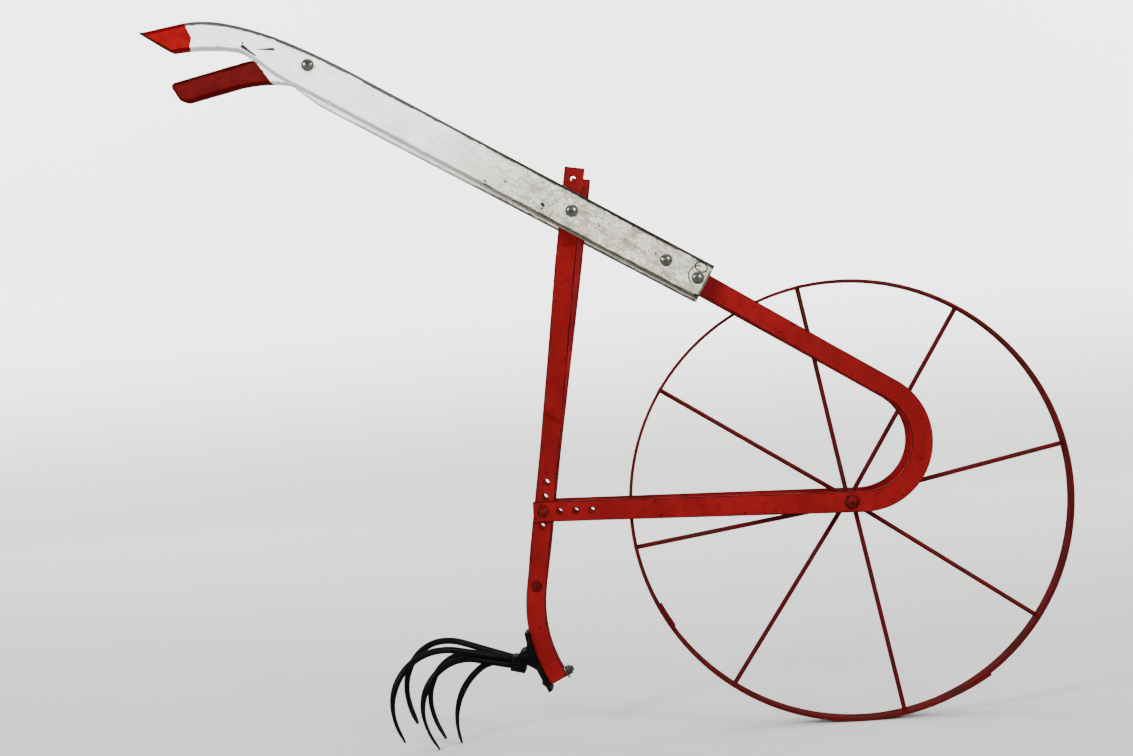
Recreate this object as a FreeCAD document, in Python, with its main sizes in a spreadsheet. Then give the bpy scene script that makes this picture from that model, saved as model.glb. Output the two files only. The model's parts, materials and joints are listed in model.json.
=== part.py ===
"""High-wheel garden cultivator: a spoked steel wheel, flat-bar frame, curved wood handles and five tines.

The frame is X forward, Y to the left and Z up, in millimetres, with the ground at Z = 0. Lengths are
driven by the spreadsheet "dims". Everything hangs from the axle: the frame bars reach back from it to
the junction with the standards, and up to the handles. The right side (negative Y) is modelled, and
the left side is its mirror image, apart from the handle tips, which differ.
"""
import FreeCAD
import Part
import Sketcher
import math
import os

Vector = FreeCAD.Vector
Rotation = FreeCAD.Rotation
Placement = FreeCAD.Placement

doc = FreeCAD.newDocument("garden_cultivator")

# --------------------------------------------------------------------------------------------------
# Driving dimensions
# --------------------------------------------------------------------------------------------------

DIMENSIONS = [
    # wheel
    ("axle_x", 325.3, "axle ahead of the middle of the machine's length"),
    ("wheel_radius", 305.0, "24 inch steel wheel"),
    ("rim_width", 32.0, "width of the tyre band"),
    ("rim_thickness", 3.2, "tyre band"),
    ("lap_length", 37.0, "joint plate inside the tyre band"),
    ("lap_thickness", 2.8, "joint plate"),
    ("lap_width", 26.0, "joint plate"),
    ("lap_angle", 208.7, "joint plate, turned from straight ahead"),
    ("scarf_length", 60.0, "overlap of the tyre band that fades into its outer face"),
    ("scarf_step", 2.5, "step at the high end of the overlap"),
    ("scarf_angle", 305.0, "high end of the overlap, turned from straight ahead"),
    ("spoke_diameter", 6.5, "round spoke"),
    ("spoke_root_offset", 18.0, "spoke root from the wheel's middle plane"),
    ("spoke_rim_offset", 5.0, "spoke end from the wheel's middle plane"),
    ("hub_radius", 14.0, "hub barrel"),
    ("hub_half_length", 30.0, "hub barrel"),
    ("axle_radius", 6.35, "half inch axle bolt"),
    ("axle_clearance", 0.08, "hub bore around the axle bolt"),
    ("hub_end_gap", 0.3, "hub end to axle washer"),
    ("axle_washer_radius", 13.0, "washer between hub and frame bar"),
    ("axle_head_radius", 9.3, "axle bolt head"),
    ("axle_head_height", 7.0, "axle bolt head"),
    ("axle_nut_radius", 13.5, "square axle nut across corners, halved"),
    ("axle_nut_height", 10.0, "square axle nut"),
    # frame bars
    ("bar_width", 28.0, "flat bar"),
    ("bar_thickness", 6.35, "quarter inch flat bar"),
    ("nose_radius", 82.0, "bend in front of the axle, at the middle of the bar"),
    ("nose_lead", 16.4, "bend starts this far ahead of the axle"),
    ("nose_half_gap", 38.0, "middle of the bar from the machine's middle plane, at the nose"),
    ("lower_arm_fall", 1.9, "lower arm falls forward by this angle"),
    ("upper_arm_rise", 33.36, "upper arm rises to the rear by this angle"),
    ("lower_arm_flare", 40.0, "lower arm leaves the nose plane this far behind the axle"),
    ("junction_straight", 82.0, "parallel stretch of the lower arm ahead of the junction"),
    ("junction_reach", 423.5, "axle to junction bolt"),
    ("bar_end_margin", 14.0, "bar end beyond its last hole"),
    ("arm_hole_pitch", 22.6, "spare holes in the lower arm"),
    ("spare_hole_radius", 4.0, "spare holes in bars and standards"),
    # standards
    ("standard_width", 27.0, "flat bar"),
    ("standard_thickness", 6.0, "flat bar"),
    ("standard_lean", 9.77, "standard leans forward at the top"),
    ("standard_height", 472.0, "junction to the top end"),
    ("standard_half_gap", 20.0, "middle of the standard from the middle plane, at the junction"),
    ("standard_flare_up", 83.0, "standard starts to splay this far above the junction"),
    ("standard_twist_end", 345.0, "standard lies flat on the handle from here up"),
    ("standard_hole_pitch", 20.5, "spare holes above and below the junction"),
    ("top_hole_margin", 15.5, "top hole below the top end"),
    ("foot_neck_top", 53.0, "standard starts to close in this far below the junction"),
    ("foot_neck_bottom", 85.0, "standard is closed in this far below the junction"),
    ("foot_half_gap", 4.2, "inner face of the foot from the middle plane"),
    ("foot_bend_start", 110.9, "foot starts to curve this far below the junction"),
    ("foot_radius", 190.0, "curve of the foot"),
    ("foot_turn", 35.0, "curve of the foot"),
    ("foot_run", 17.0, "straight end of the foot"),
    ("foot_rivet_drop", 106.5, "foot rivet below the junction"),
    # handles
    ("handle_splay", 8.25, "handles spread to the rear by this angle each"),
    ("handle_half_gap", 67.5, "inner face of the handle at its front bolt"),
    ("handle_thickness", 25.0, "board thickness"),
    ("handle_width", 50.4, "board width"),
    ("handle_edge_radius", 4.0, "rounded board edges"),
    ("handle_rise", 31.7, "board rises to the rear by this angle"),
    ("handle_front", 13.5, "front end ahead of the front bolt"),
    ("handle_bolt_reach", 307.0, "front bolt along the upper arm, from the end of the nose bend"),
    ("handle_bolt_spacing", 48.6, "front to middle handle bolt"),
    ("top_bend_start", 536.0, "upper edge of the board starts to bend"),
    ("top_bend_one_radius", 905.0, "upper edge, first bend"),
    ("top_bend_one_turn", 8.0, "upper edge, first bend"),
    ("top_bend_two_radius", 302.0, "upper edge, second bend"),
    ("top_bend_two_turn", 9.0, "upper edge, second bend"),
    ("top_bend_three_radius", 126.0, "upper edge, crown"),
    ("grip_fall", 9.8, "grip falls to the rear by this angle"),
    ("grip_length", 112.5, "upper edge of the whole grip behind the crown"),
    ("stub_length", 56.0, "upper edge of the broken grip behind the crown"),
    ("low_bend_start", 611.6, "lower edge of the board starts to bend"),
    ("low_bend_one_radius", 100.0, "lower edge, upward bend"),
    ("low_bend_one_turn", 8.8, "lower edge, upward bend"),
    ("low_slope_length", 38.0, "lower edge, steep stretch"),
    ("low_bend_two_radius", 30.0, "lower edge, shoulder"),
    ("low_bend_two_turn", 28.6, "lower edge, shoulder"),
    ("low_bend_three_radius", 223.0, "lower edge under the grip"),
    ("stub_low_turn", 20.3, "lower edge of the broken grip, as turn of the edge under the grip"),
    ("grip_end_lean", 20.0, "end of the whole grip leans back toward its top by this angle"),
    ("grip_heel_radius", 14.0, "round lower corner of the whole grip"),
    ("grip_tip_radius", 6.0, "round upper corner of the whole grip"),
    ("rung_reach", 497.4, "rung behind the front bolt, level"),
    ("rung_lift", 314.4, "rung above the front bolt"),
    ("rung_radius", 11.0, "round rung between the handles"),
    # fasteners
    ("bolt_radius", 4.0, "handle, junction and tool bolts"),
    ("bolt_clearance", 0.25, "hole around a bolt"),
    ("dome_radius", 8.25, "domed bolt head"),
    ("dome_height", 5.0, "domed bolt head"),
    ("crown_radius", 1.0, "small flat on top of a domed head"),
    ("nut_radius", 7.6, "hexagon nut across corners, halved"),
    ("nut_height", 6.5, "hexagon nut"),
    ("bolt_end", 3.0, "bolt beyond its nut"),
    ("rung_bolt_depth", 45.0, "rung bolt inside the rung"),
    ("spacer_radius", 10.0, "spacers between the standards"),
    # tool head
    ("bracket_thickness", 6.0, "plate behind the foot"),
    ("bracket_half_width", 19.0, "plate behind the foot"),
    ("bracket_turn", 18.0, "plate covers this much of the foot's curve"),
    ("bracket_toe", 7.0, "plate below the end of the foot"),
    ("ear_thickness", 4.0, "ear on each side of the clamp block"),
    ("ear_radius", 8.2, "round end of the ear"),
    ("ear_turn", 25.4, "clamp bolt behind the foot, as turn of the foot's curve"),
    ("ear_tilt", 20.0, "ear rises to the rear by this angle"),
    ("ear_margin", 2.0, "ear within the plate, as turn of the foot's curve"),
    ("tool_washer_radius", 11.0, "washer in front of the foot"),
    ("tool_washer_thickness", 2.0, "washer in front of the foot"),
    ("tool_bolt_rise", 5.5, "tool bolt above the end of the foot"),
    ("clamp_gap", 0.5, "round eye of the clamp block behind the plate"),
    ("clamp_length", 21.0, "clamp block along the tines"),
    ("clamp_below", 11.5, "clamp block below the tines' middle"),
    ("clamp_above", 9.0, "clamp block above the tines' middle"),
    ("clamp_eye_back", 15.8, "clamp bolt ahead of the clamp block's rear face"),
    ("clamp_eye_lift", 12.2, "clamp bolt above the tines' middle"),
    ("tine_rise", 14.6, "tines rise to the rear out of the clamp"),
    ("tine_radius", 4.2, "round stretch of a tine, from the clamp to its forged end"),
    ("tine_flare_turn", 34.0, "tine is forged from round to flat over the last of its second bend"),
    ("tine_blade_half_width", 5.4, "flat end of a tine, across its bends"),
    ("tine_blade_half_thickness", 2.1, "flat end of a tine, in the plane of its bends"),
    ("tine_tip_half_width", 3.4, "blunt tip of a tine, across its bends"),
    ("tine_tip_half_thickness", 1.2, "blunt tip of a tine, in the plane of its bends"),
    ("tine_row_offset", 4.3, "upper and lower row of tines from their middle"),
    ("outer_tine_yaw", 21.3, "outer tine spreads by this angle"),
    ("outer_tine_offset", 6.2, "outer tine from the middle plane at the clamp"),
    ("outer_tine_run", 81.0, "straight run out of the clamp"),
    ("outer_tine_first_radius", 94.0, "first bend"),
    ("outer_tine_first_turn", 20.0, "first bend"),
    ("outer_tine_second_turn", 95.0, "second bend"),
    ("outer_tine_third_radius", 104.0, "third bend"),
    ("outer_tine_third_turn", 14.0, "third bend"),
    ("outer_tine_tip_run", 12.7, "straight run at the tip"),
    ("outer_tine_tip_height", 18.0, "tip above the ground"),
    ("inner_tine_yaw", 15.0, "inner tine spreads by this angle"),
    ("inner_tine_offset", 8.8, "inner tine from the middle plane at the clamp"),
    ("inner_tine_run", 51.0, "straight run out of the clamp"),
    ("inner_tine_first_radius", 61.0, "first bend"),
    ("inner_tine_first_turn", 45.0, "first bend"),
    ("inner_tine_second_turn", 70.0, "second bend"),
    ("inner_tine_third_radius", 100.0, "third bend"),
    ("inner_tine_third_turn", 20.0, "third bend"),
    ("inner_tine_tip_run", 12.4, "straight run at the tip"),
    ("inner_tine_tip_height", 0.0, "tip above the ground"),
    ("centre_tine_run", 12.0, "straight run out of the clamp"),
    ("centre_tine_first_radius", 40.0, "first bend"),
    ("centre_tine_first_turn", 50.0, "first bend"),
    ("centre_tine_second_turn", 60.0, "second bend"),
    ("centre_tine_third_radius", 100.0, "third bend"),
    ("centre_tine_third_turn", 8.0, "third bend"),
    ("centre_tine_tip_run", 7.8, "straight run at the tip"),
    ("centre_tine_tip_height", 0.0, "tip above the ground"),
]

sheet = doc.addObject("Spreadsheet::Sheet", "dims")
for row, (alias, number, note) in enumerate(DIMENSIONS, start=1):
    sheet.set(f"A{row}", note)
    sheet.set(f"B{row}", str(number))
    sheet.setAlias(f"B{row}", alias)
doc.recompute()


class Size:
    """A number together with the spreadsheet formula that gives it."""

    def __init__(self, value, formula):
        self.value = float(value)
        self.formula = formula

    def __add__(self, other):
        other = as_size(other)
        return Size(self.value + other.value, f"({self.formula} + {other.formula})")

    def __radd__(self, other):
        return as_size(other) + self

    def __sub__(self, other):
        other = as_size(other)
        return Size(self.value - other.value, f"({self.formula} - {other.formula})")

    def __rsub__(self, other):
        return as_size(other) - self

    def __mul__(self, other):
        other = as_size(other)
        return Size(self.value * other.value, f"{self.formula} * {other.formula}")

    def __rmul__(self, other):
        return as_size(other) * self

    def __truediv__(self, other):
        other = as_size(other)
        return Size(self.value / other.value, f"{self.formula} / {other.formula}")

    def __neg__(self):
        return Size(-self.value, f"(0 - {self.formula})")


def as_size(number):
    """Return the number as a Size, a plain one as its own formula."""
    if isinstance(number, Size):
        return number
    return Size(number, f"({number})" if number < 0 else str(number))


def sine(angle):
    angle = as_size(angle)
    return Size(math.sin(math.radians(angle.value)), f"sin({angle.formula})")


def cosine(angle):
    angle = as_size(angle)
    return Size(math.cos(math.radians(angle.value)), f"cos({angle.formula})")


def tangent(angle):
    angle = as_size(angle)
    return Size(math.tan(math.radians(angle.value)), f"tan({angle.formula})")


D = {alias: Size(number, f"dims.{alias}") for alias, number, note in DIMENSIONS}

# --------------------------------------------------------------------------------------------------
# Building blocks
# --------------------------------------------------------------------------------------------------

NODES = {}


def node(shape_object, name):
    """Mark an object as a finished sub-part: its Label names its file."""
    shape_object.Label = name
    NODES[name] = shape_object
    return shape_object


def bind(target, path, size):
    """Tie one property of an object to its spreadsheet formula."""
    target.setExpression(path, as_size(size).formula)


def move(target, base, turn=0.0, axis=Vector(0, 0, 1)):
    """Place an object at base, turned about one axis, with each value tied to the spreadsheet."""
    base = [as_size(value) for value in base]
    turn = as_size(turn)
    corner = Vector(*[value.value for value in base])
    target.Placement = Placement(corner, Rotation(axis, turn.value))
    for letter, value in zip("xyz", base):
        bind(target, f"Placement.Base.{letter}", value)
    return target


def make_body(name, base=(0, 0, 0), turn=0.0, axis=Vector(0, 0, 1)):
    """Make an empty PartDesign body in its own local frame."""
    body = doc.addObject("PartDesign::Body", name)
    move(body, base, turn, axis)
    return body


def make_sketch(body, role, offset=(0, 0, 0), turn=0.0):
    """Make a sketch on one of the body's own origin planes, shifted and turned within that plane."""
    sketch = body.newObject("Sketcher::SketchObject", f"{body.Name}_sketch")
    plane = [item for item in body.Origin.OriginFeatures if item.Role == role][0]
    sketch.AttachmentSupport = (plane, [""])
    sketch.MapMode = "FlatFace"
    offset = [as_size(value) for value in offset]
    turn = as_size(turn)
    corner = Vector(*[value.value for value in offset])
    sketch.AttachmentOffset = Placement(corner, Rotation(Vector(0, 0, 1), turn.value))
    for letter, value in zip("xyz", offset):
        bind(sketch, f"AttachmentOffset.Base.{letter}", value)
    return sketch


def pin_point(sketch, edge, end, corner):
    """Fix one end of an edge at a corner given by two sizes."""
    for kind, value in zip(("DistanceX", "DistanceY"), corner):
        index = sketch.addConstraint(Sketcher.Constraint(kind, -1, 1, edge, end, value.value))
        bind(sketch, f"Constraints[{index}]", value)


def arc_between(start, finish, radius):
    """Return the short arc from start to finish. A positive radius bends to the left."""
    middle = (start + finish) / 2
    chord = finish - start
    half = chord.Length / 2
    reach = math.sqrt(max(radius * radius - half * half, 0.0))
    left = Vector(-chord.y, chord.x, 0).normalize()
    centre = middle + left * math.copysign(reach, radius)
    first, last = (start, finish) if radius > 0 else (finish, start)
    angles = [math.atan2(end.y - centre.y, end.x - centre.x) for end in (first, last)]
    circle = Part.Circle(centre, Vector(0, 0, 1), abs(radius))
    return Part.ArcOfCircle(circle, angles[0], angles[1])


def draw_path(sketch, corners, closed=True):
    """Draw an outline through the corners. A corner with a third value is followed by an arc of that
    radius, positive to the left and negative to the right."""
    corners = [tuple(as_size(value) for value in corner) for corner in corners]
    points = [Vector(corner[0].value, corner[1].value, 0) for corner in corners]
    count = len(corners) if closed else len(corners) - 1
    tips = []
    for index in range(count):
        start, finish = points[index], points[(index + 1) % len(points)]
        if len(corners[index]) == 3:
            radius = corners[index][2]
            edge = sketch.addGeometry(arc_between(start, finish, radius.value), False)
            tips.append((edge, 1, 2) if radius.value > 0 else (edge, 2, 1))
        else:
            edge = sketch.addGeometry(Part.LineSegment(start, finish), False)
            tips.append((edge, 1, 2))
    for index in range(count):
        if index + 1 < count or closed:
            edge, first, last = tips[index]
            after, after_first, after_last = tips[(index + 1) % count]
            sketch.addConstraint(Sketcher.Constraint("Coincident", edge, last, after, after_first))
    for index in range(count):
        pin_point(sketch, tips[index][0], tips[index][1], corners[index][:2])
        if len(corners[index]) == 3:
            radius = corners[index][2]
            size = radius if radius.value > 0 else -radius
            rule = Sketcher.Constraint("Radius", tips[index][0], size.value)
            bind(sketch, f"Constraints[{sketch.addConstraint(rule)}]", size)
    if not closed:
        pin_point(sketch, tips[-1][0], tips[-1][2], corners[-1][:2])
    return sketch


def draw_circle(sketch, x, y, radius):
    """Draw a full circle, its centre and radius tied to the spreadsheet."""
    x, y, radius = as_size(x), as_size(y), as_size(radius)
    circle = Part.Circle(Vector(x.value, y.value, 0), Vector(0, 0, 1), radius.value)
    edge = sketch.addGeometry(circle, False)
    pin_point(sketch, edge, 3, (x, y))
    rule = Sketcher.Constraint("Radius", edge, radius.value)
    bind(sketch, f"Constraints[{sketch.addConstraint(rule)}]", radius)
    return sketch


def pad(body, sketch, length, reverse=False, midplane=False):
    """Pad a sketch by a length tied to the spreadsheet."""
    feature = body.newObject("PartDesign::Pad", f"{body.Name}_pad")
    feature.Profile = sketch
    feature.Length = as_size(length).value
    bind(feature, "Length", length)
    feature.Reversed = reverse
    feature.Midplane = midplane
    return feature


def revolve(body, sketch):
    """Revolve a sketch a full turn about its own upright axis."""
    feature = body.newObject("PartDesign::Revolution", f"{body.Name}_revolution")
    feature.Profile = sketch
    feature.ReferenceAxis = (sketch, ["V_Axis"])
    feature.Angle = 360.0
    return feature


def fuse(name, pieces):
    """Join solids into one."""
    result = doc.addObject("Part::MultiFuse", name)
    result.Shapes = pieces
    result.Refine = True
    return result


def common(name, pieces):
    """Keep what the solids share."""
    result = doc.addObject("Part::MultiCommon", name)
    result.Shapes = pieces
    result.Refine = True
    return result


def cut(name, base, tool):
    """Take one solid away from another."""
    result = doc.addObject("Part::Cut", name)
    result.Base = base
    result.Tool = tool
    result.Refine = True
    return result


def mirror(source, name):
    """Mirror a right-hand piece to the left side of the machine."""
    result = doc.addObject("Part::Mirroring", name.replace("left", "mirrored"))
    result.Source = source
    result.Base = Vector(0, 0, 0)
    result.Normal = Vector(0, 1, 0)
    return node(result, name)


def walk(start, heading, steps):
    """Follow straight runs and bends from a start and heading. A step is a length, or a radius and a
    turn. A bend turns left when its turn is positive. Corners and the final heading are returned."""
    x, y = (as_size(value) for value in start)
    heading = as_size(heading)
    corners = []
    for step in steps:
        if isinstance(step, tuple):
            radius, turn = (as_size(value) for value in step)
            if turn.value > 0:
                corners.append((x, y, radius))
                x = x + radius * (sine(heading + turn) - sine(heading))
                y = y + radius * (cosine(heading) - cosine(heading + turn))
            else:
                corners.append((x, y, -radius))
                x = x + radius * (sine(heading) - sine(heading + turn))
                y = y + radius * (cosine(heading + turn) - cosine(heading))
            heading = heading + turn
        else:
            corners.append((x, y))
            x = x + as_size(step) * cosine(heading)
            y = y + as_size(step) * sine(heading)
    corners.append((x, y))
    return corners, heading


# --------------------------------------------------------------------------------------------------
# Places shared by several pieces, in the machine's frame
# --------------------------------------------------------------------------------------------------

AXLE_X = D["axle_x"]
AXLE_Z = D["wheel_radius"]

# Along the lower arm, backward, and the junction bolt at its end.
JUNCTION_X = AXLE_X - D["junction_reach"] * cosine(D["lower_arm_fall"])
JUNCTION_Z = AXLE_Z + D["junction_reach"] * sine(D["lower_arm_fall"])

# Centre of the nose bend: ahead of the axle along the lower arm, then up by the bend's radius.
NOSE_X = AXLE_X + D["nose_lead"] * cosine(D["lower_arm_fall"]) + D["nose_radius"] * sine(D["lower_arm_fall"])
NOSE_Z = AXLE_Z - D["nose_lead"] * sine(D["lower_arm_fall"]) + D["nose_radius"] * cosine(D["lower_arm_fall"])

# Start of the straight upper arm, and the two handle bolts on it.
ARM_TOP_X = NOSE_X + D["nose_radius"] * sine(D["upper_arm_rise"])
ARM_TOP_Z = NOSE_Z + D["nose_radius"] * cosine(D["upper_arm_rise"])


def on_upper_arm(reach):
    """Return the place on the middle line of the upper arm, this far behind the nose bend."""
    x = ARM_TOP_X - reach * cosine(D["upper_arm_rise"])
    z = ARM_TOP_Z + reach * sine(D["upper_arm_rise"])
    return x, z


def on_standard(height):
    """Return the place on the middle line of the standard, this far above the junction."""
    x = JUNCTION_X + height * sine(D["standard_lean"])
    z = JUNCTION_Z + height * cosine(D["standard_lean"])
    return x, z


FRONT_BOLT = on_upper_arm(D["handle_bolt_reach"])
MIDDLE_BOLT = on_upper_arm(D["handle_bolt_reach"] + D["handle_bolt_spacing"])

# The rear handle bolt lies where the middle line of the board crosses that of the standard.
BOARD_SLOPE = tangent(D["handle_rise"]) / cosine(D["handle_splay"])
REAR_BOLT_HEIGHT = (FRONT_BOLT[1] - JUNCTION_Z + (FRONT_BOLT[0] - JUNCTION_X) * BOARD_SLOPE) / (
    cosine(D["standard_lean"]) + BOARD_SLOPE * sine(D["standard_lean"]))
REAR_BOLT = on_standard(REAR_BOLT_HEIGHT)

# The bolt into the rung, at its own place on the board.
RUNG_BOLT = (FRONT_BOLT[0] - D["rung_reach"] * cosine(D["handle_splay"]), FRONT_BOLT[1] + D["rung_lift"])

LOWER_ARM_Y = D["standard_half_gap"] + D["standard_thickness"] / 2 + D["bar_thickness"] / 2


def board_y(x):
    """Return how far the board's inner face is from the middle plane at this X."""
    return D["handle_half_gap"] + (FRONT_BOLT[0] - x) * tangent(D["handle_splay"])


BOARD_TURN = 180 + D["handle_splay"]


def board_body(name, place):
    """Make a body in the right board's frame: X backward along the board, Y outward through it, Z up.
    Its origin is on the board's inner face, at a place (x, z)."""
    return make_body(name, (place[0], -board_y(place[0]), place[1]), BOARD_TURN)


# --------------------------------------------------------------------------------------------------
# Fasteners: each is built with its axis along its body's own Y
# --------------------------------------------------------------------------------------------------


def bolt(body, radius, head_radius, head_height, seat, end):
    """Make a dome-headed bolt whose head sits at Y = seat and rises outward, and whose end is at Y = end,
    on the inner side."""
    sketch = make_sketch(body, "XY_Plane")
    seat, end = as_size(seat), as_size(end)
    outward = 1 if seat.value > end.value else -1
    flat = D["crown_radius"]
    slope = head_radius - flat
    dome = (slope * slope + head_height * head_height) / (head_height * 2)
    crown = seat + head_height * outward
    corners = [(0, end), (radius, end), (radius, seat), (head_radius, seat, dome * outward),
               (flat, crown), (0, crown)]
    draw_path(sketch, corners)
    revolve(body, sketch)
    return body


def nut(body, seat, away, bore):
    """Make a hexagon nut from Y = seat, growing along Y in the direction away (1 or -1)."""
    sketch = make_sketch(body, "XZ_Plane", (0, 0, -as_size(seat)))
    corners = []
    for corner in range(6):
        angle = 60 * corner + 30
        corners.append((D["nut_radius"] * cosine(angle), D["nut_radius"] * sine(angle)))
    draw_path(sketch, corners)
    draw_circle(sketch, 0, 0, bore)
    pad(body, sketch, D["nut_height"], reverse=away > 0)
    return body


def ring(body, outer, inner, low, high):
    """Make a washer or spacer round the body's own Y axis."""
    sketch = make_sketch(body, "XY_Plane")
    draw_path(sketch, [(inner, low), (outer, low), (outer, high), (inner, high)])
    revolve(body, sketch)
    return body


def drill(name, place, radius, y_low, y_high):
    """Make a drill across the machine, at a place (x, z)."""
    tool = doc.addObject("Part::Cylinder", name)
    bind(tool, "Radius", radius)
    bind(tool, "Height", as_size(y_high) - y_low)
    move(tool, (place[0], y_low, place[1]), -90.0, Vector(1, 0, 0))
    return tool


def board_drill(name, place, radius, low, high):
    """Make a drill square to the right board, between two depths from its inner face."""
    body = board_body(name, place)
    sketch = make_sketch(body, "XZ_Plane", (0, 0, -as_size(low)))
    draw_circle(sketch, 0, 0, radius)
    pad(body, sketch, as_size(high) - low, reverse=True)
    return body


BOLT_HOLE = D["bolt_radius"] + D["bolt_clearance"]
AXLE_HOLE = D["axle_radius"] + D["bolt_clearance"]
# Drills and side outlines reach this far out, past every bar on their side of the machine.
DRILL_REACH = D["handle_half_gap"] * 3
# A drill for a blind hole starts this far outside the piece.
DRILL_LEAD = 1.0

# --------------------------------------------------------------------------------------------------
# Wheel
# --------------------------------------------------------------------------------------------------

# Set by hand, so the spokes are not quite even. Odd and even spokes root on opposite sides, and each
# side's spokes point a little past the middle of the hub.
SPOKE_ANGLES = (11.4, 57.3, 99.9, 145.9, 188.7, 234.4, 280.6, 324.2)
SPOKE_SIDE_SHIFTS = (2.9, -0.8)

WHEEL_CENTRE = (AXLE_X, 0, AXLE_Z)
DEGREES = 180 / math.pi


def build_rim():
    """Tyre band with the joint plate inside it and the overlap outside it."""
    band = make_body("rim_band", WHEEL_CENTRE)
    inner = D["wheel_radius"] - D["rim_thickness"]
    half = D["rim_width"] / 2
    sketch = make_sketch(band, "XY_Plane")
    draw_path(sketch, [(inner, -half), (D["wheel_radius"], -half), (D["wheel_radius"], half), (inner, half)])
    revolve(band, sketch)
    plate = make_body("rim_joint", WHEEL_CENTRE, -D["lap_angle"], Vector(0, 1, 0))
    lap_inner = inner - D["lap_thickness"]
    sweep = D["lap_length"] / 2 / D["wheel_radius"] * DEGREES
    sketch = make_sketch(plate, "XZ_Plane")
    draw_path(sketch, [
        (inner * cosine(sweep), -inner * sine(sweep), inner),
        (inner * cosine(sweep), inner * sine(sweep)),
        (lap_inner * cosine(sweep), lap_inner * sine(sweep), -lap_inner),
        (lap_inner * cosine(sweep), -lap_inner * sine(sweep)),
    ])
    pad(plate, sketch, D["lap_width"], midplane=True)
    overlap = make_body("rim_scarf", WHEEL_CENTRE, -D["scarf_angle"], Vector(0, 1, 0))
    fade = D["scarf_length"] / D["wheel_radius"] * DEGREES
    sketch = make_sketch(overlap, "XZ_Plane")
    draw_path(sketch, [
        (D["wheel_radius"] * cosine(fade), -D["wheel_radius"] * sine(fade), D["wheel_radius"]),
        (D["wheel_radius"] + D["scarf_step"], 0),
        (D["wheel_radius"] - D["rim_thickness"] / 2, 0),
    ])
    pad(overlap, sketch, D["rim_width"], midplane=True)
    return node(fuse("rim", [band, plate, overlap]), "wheel_rim")


def build_hub():
    """Plain hub barrel, bored for the axle bolt."""
    hub = make_body("hub", WHEEL_CENTRE)
    bore = D["axle_radius"] + D["axle_clearance"]
    ring(hub, D["hub_radius"], bore, -D["hub_half_length"], D["hub_half_length"])
    node(hub, "wheel_hub")


def build_spoke(number, angle, rim, core):
    """Round spoke from the outside of the hub barrel to the inner face of the tyre band."""
    side = -1 if number % 2 else 1
    shift = SPOKE_SIDE_SHIFTS[0 if side < 0 else 1]
    root_radius = D["hub_radius"].value / 2
    end_radius = D["wheel_radius"].value - D["rim_thickness"].value / 2
    outward = Vector(math.cos(math.radians(angle)), 0, math.sin(math.radians(angle)))
    sideways = Vector(-outward.z, 0, outward.x)
    centre = Vector(AXLE_X.value, 0, AXLE_Z.value)
    across = Vector(0, side, 0)
    root = centre + outward * root_radius + sideways * shift + across * D["spoke_root_offset"].value
    end = centre + outward * end_radius + across * D["spoke_rim_offset"].value
    rod = doc.addObject("Part::Cylinder", f"spoke_rod_{number}")
    bind(rod, "Radius", D["spoke_diameter"] / 2)
    rod.Height = (end - root).Length
    rod.Placement = Placement(root, Rotation(Vector(0, 0, 1), end - root))
    trimmed = cut(f"spoke_trimmed_{number}", rod, fuse(f"spoke_ends_{number}", [rim, core]))
    return node(trimmed, f"spoke_{number}")


def build_wheel():
    rim = build_rim()
    build_hub()
    core = drill("hub_core", (AXLE_X, AXLE_Z), D["hub_radius"], -D["hub_half_length"], D["hub_half_length"])
    for number, angle in enumerate(SPOKE_ANGLES, start=1):
        build_spoke(number, angle, rim, core)


def build_axle():
    """Axle bolt, nut and the washers that keep the hub between the frame bars."""
    outer = D["nose_half_gap"] + D["bar_thickness"] / 2
    inner = D["nose_half_gap"] - D["bar_thickness"] / 2
    axle = make_body("axle", WHEEL_CENTRE)
    end = outer + D["axle_nut_height"] + D["bolt_end"]
    bolt(axle, D["axle_radius"], D["axle_head_radius"], D["axle_head_height"], -outer, end)
    node(axle, "axle_bolt")
    lock = make_body("axle_lock", WHEEL_CENTRE)
    sketch = make_sketch(lock, "XZ_Plane", (0, 0, -outer))
    corners = []
    for corner in range(4):
        angle = 90 * corner + 45 + D["lower_arm_fall"]
        corners.append((D["axle_nut_radius"] * cosine(angle), D["axle_nut_radius"] * sine(angle)))
    draw_path(sketch, corners)
    draw_circle(sketch, 0, 0, D["axle_radius"] + D["axle_clearance"])
    pad(lock, sketch, D["axle_nut_height"], reverse=True)
    node(lock, "axle_nut")
    washer = make_body("axle_washer", WHEEL_CENTRE)
    near = D["hub_half_length"] + D["hub_end_gap"]
    ring(washer, D["axle_washer_radius"], D["axle_radius"] + D["axle_clearance"], -inner, -near)
    node(washer, "axle_washer_right")
    mirror(washer, "axle_washer_left")


# --------------------------------------------------------------------------------------------------
# Frame bars: each is a lower arm, a nose bend and an upper arm from one flat bar. Every arm is the
# overlap of its side outline with its plan outline.
# --------------------------------------------------------------------------------------------------

# Plan outlines rise from the ground past the top of the frame bars, and reach past their ends.
PLAN_HEIGHT = MIDDLE_BOLT[1] + AXLE_Z
PLAN_MARGIN = D["bar_width"] * 2
ARM_SPARE_HOLES = 3


def plan_wall(name, stations):
    """Make an upright wall in plan from stations (x, y, half its width along Y), from rear to front."""
    wall = make_body(name)
    sketch = make_sketch(wall, "XY_Plane")
    outer = [(x, -y - half) for x, y, half in stations]
    inner = [(x, -y + half) for x, y, half in reversed(stations)]
    draw_path(sketch, outer + inner)
    pad(wall, sketch, PLAN_HEIGHT)
    return wall


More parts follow.
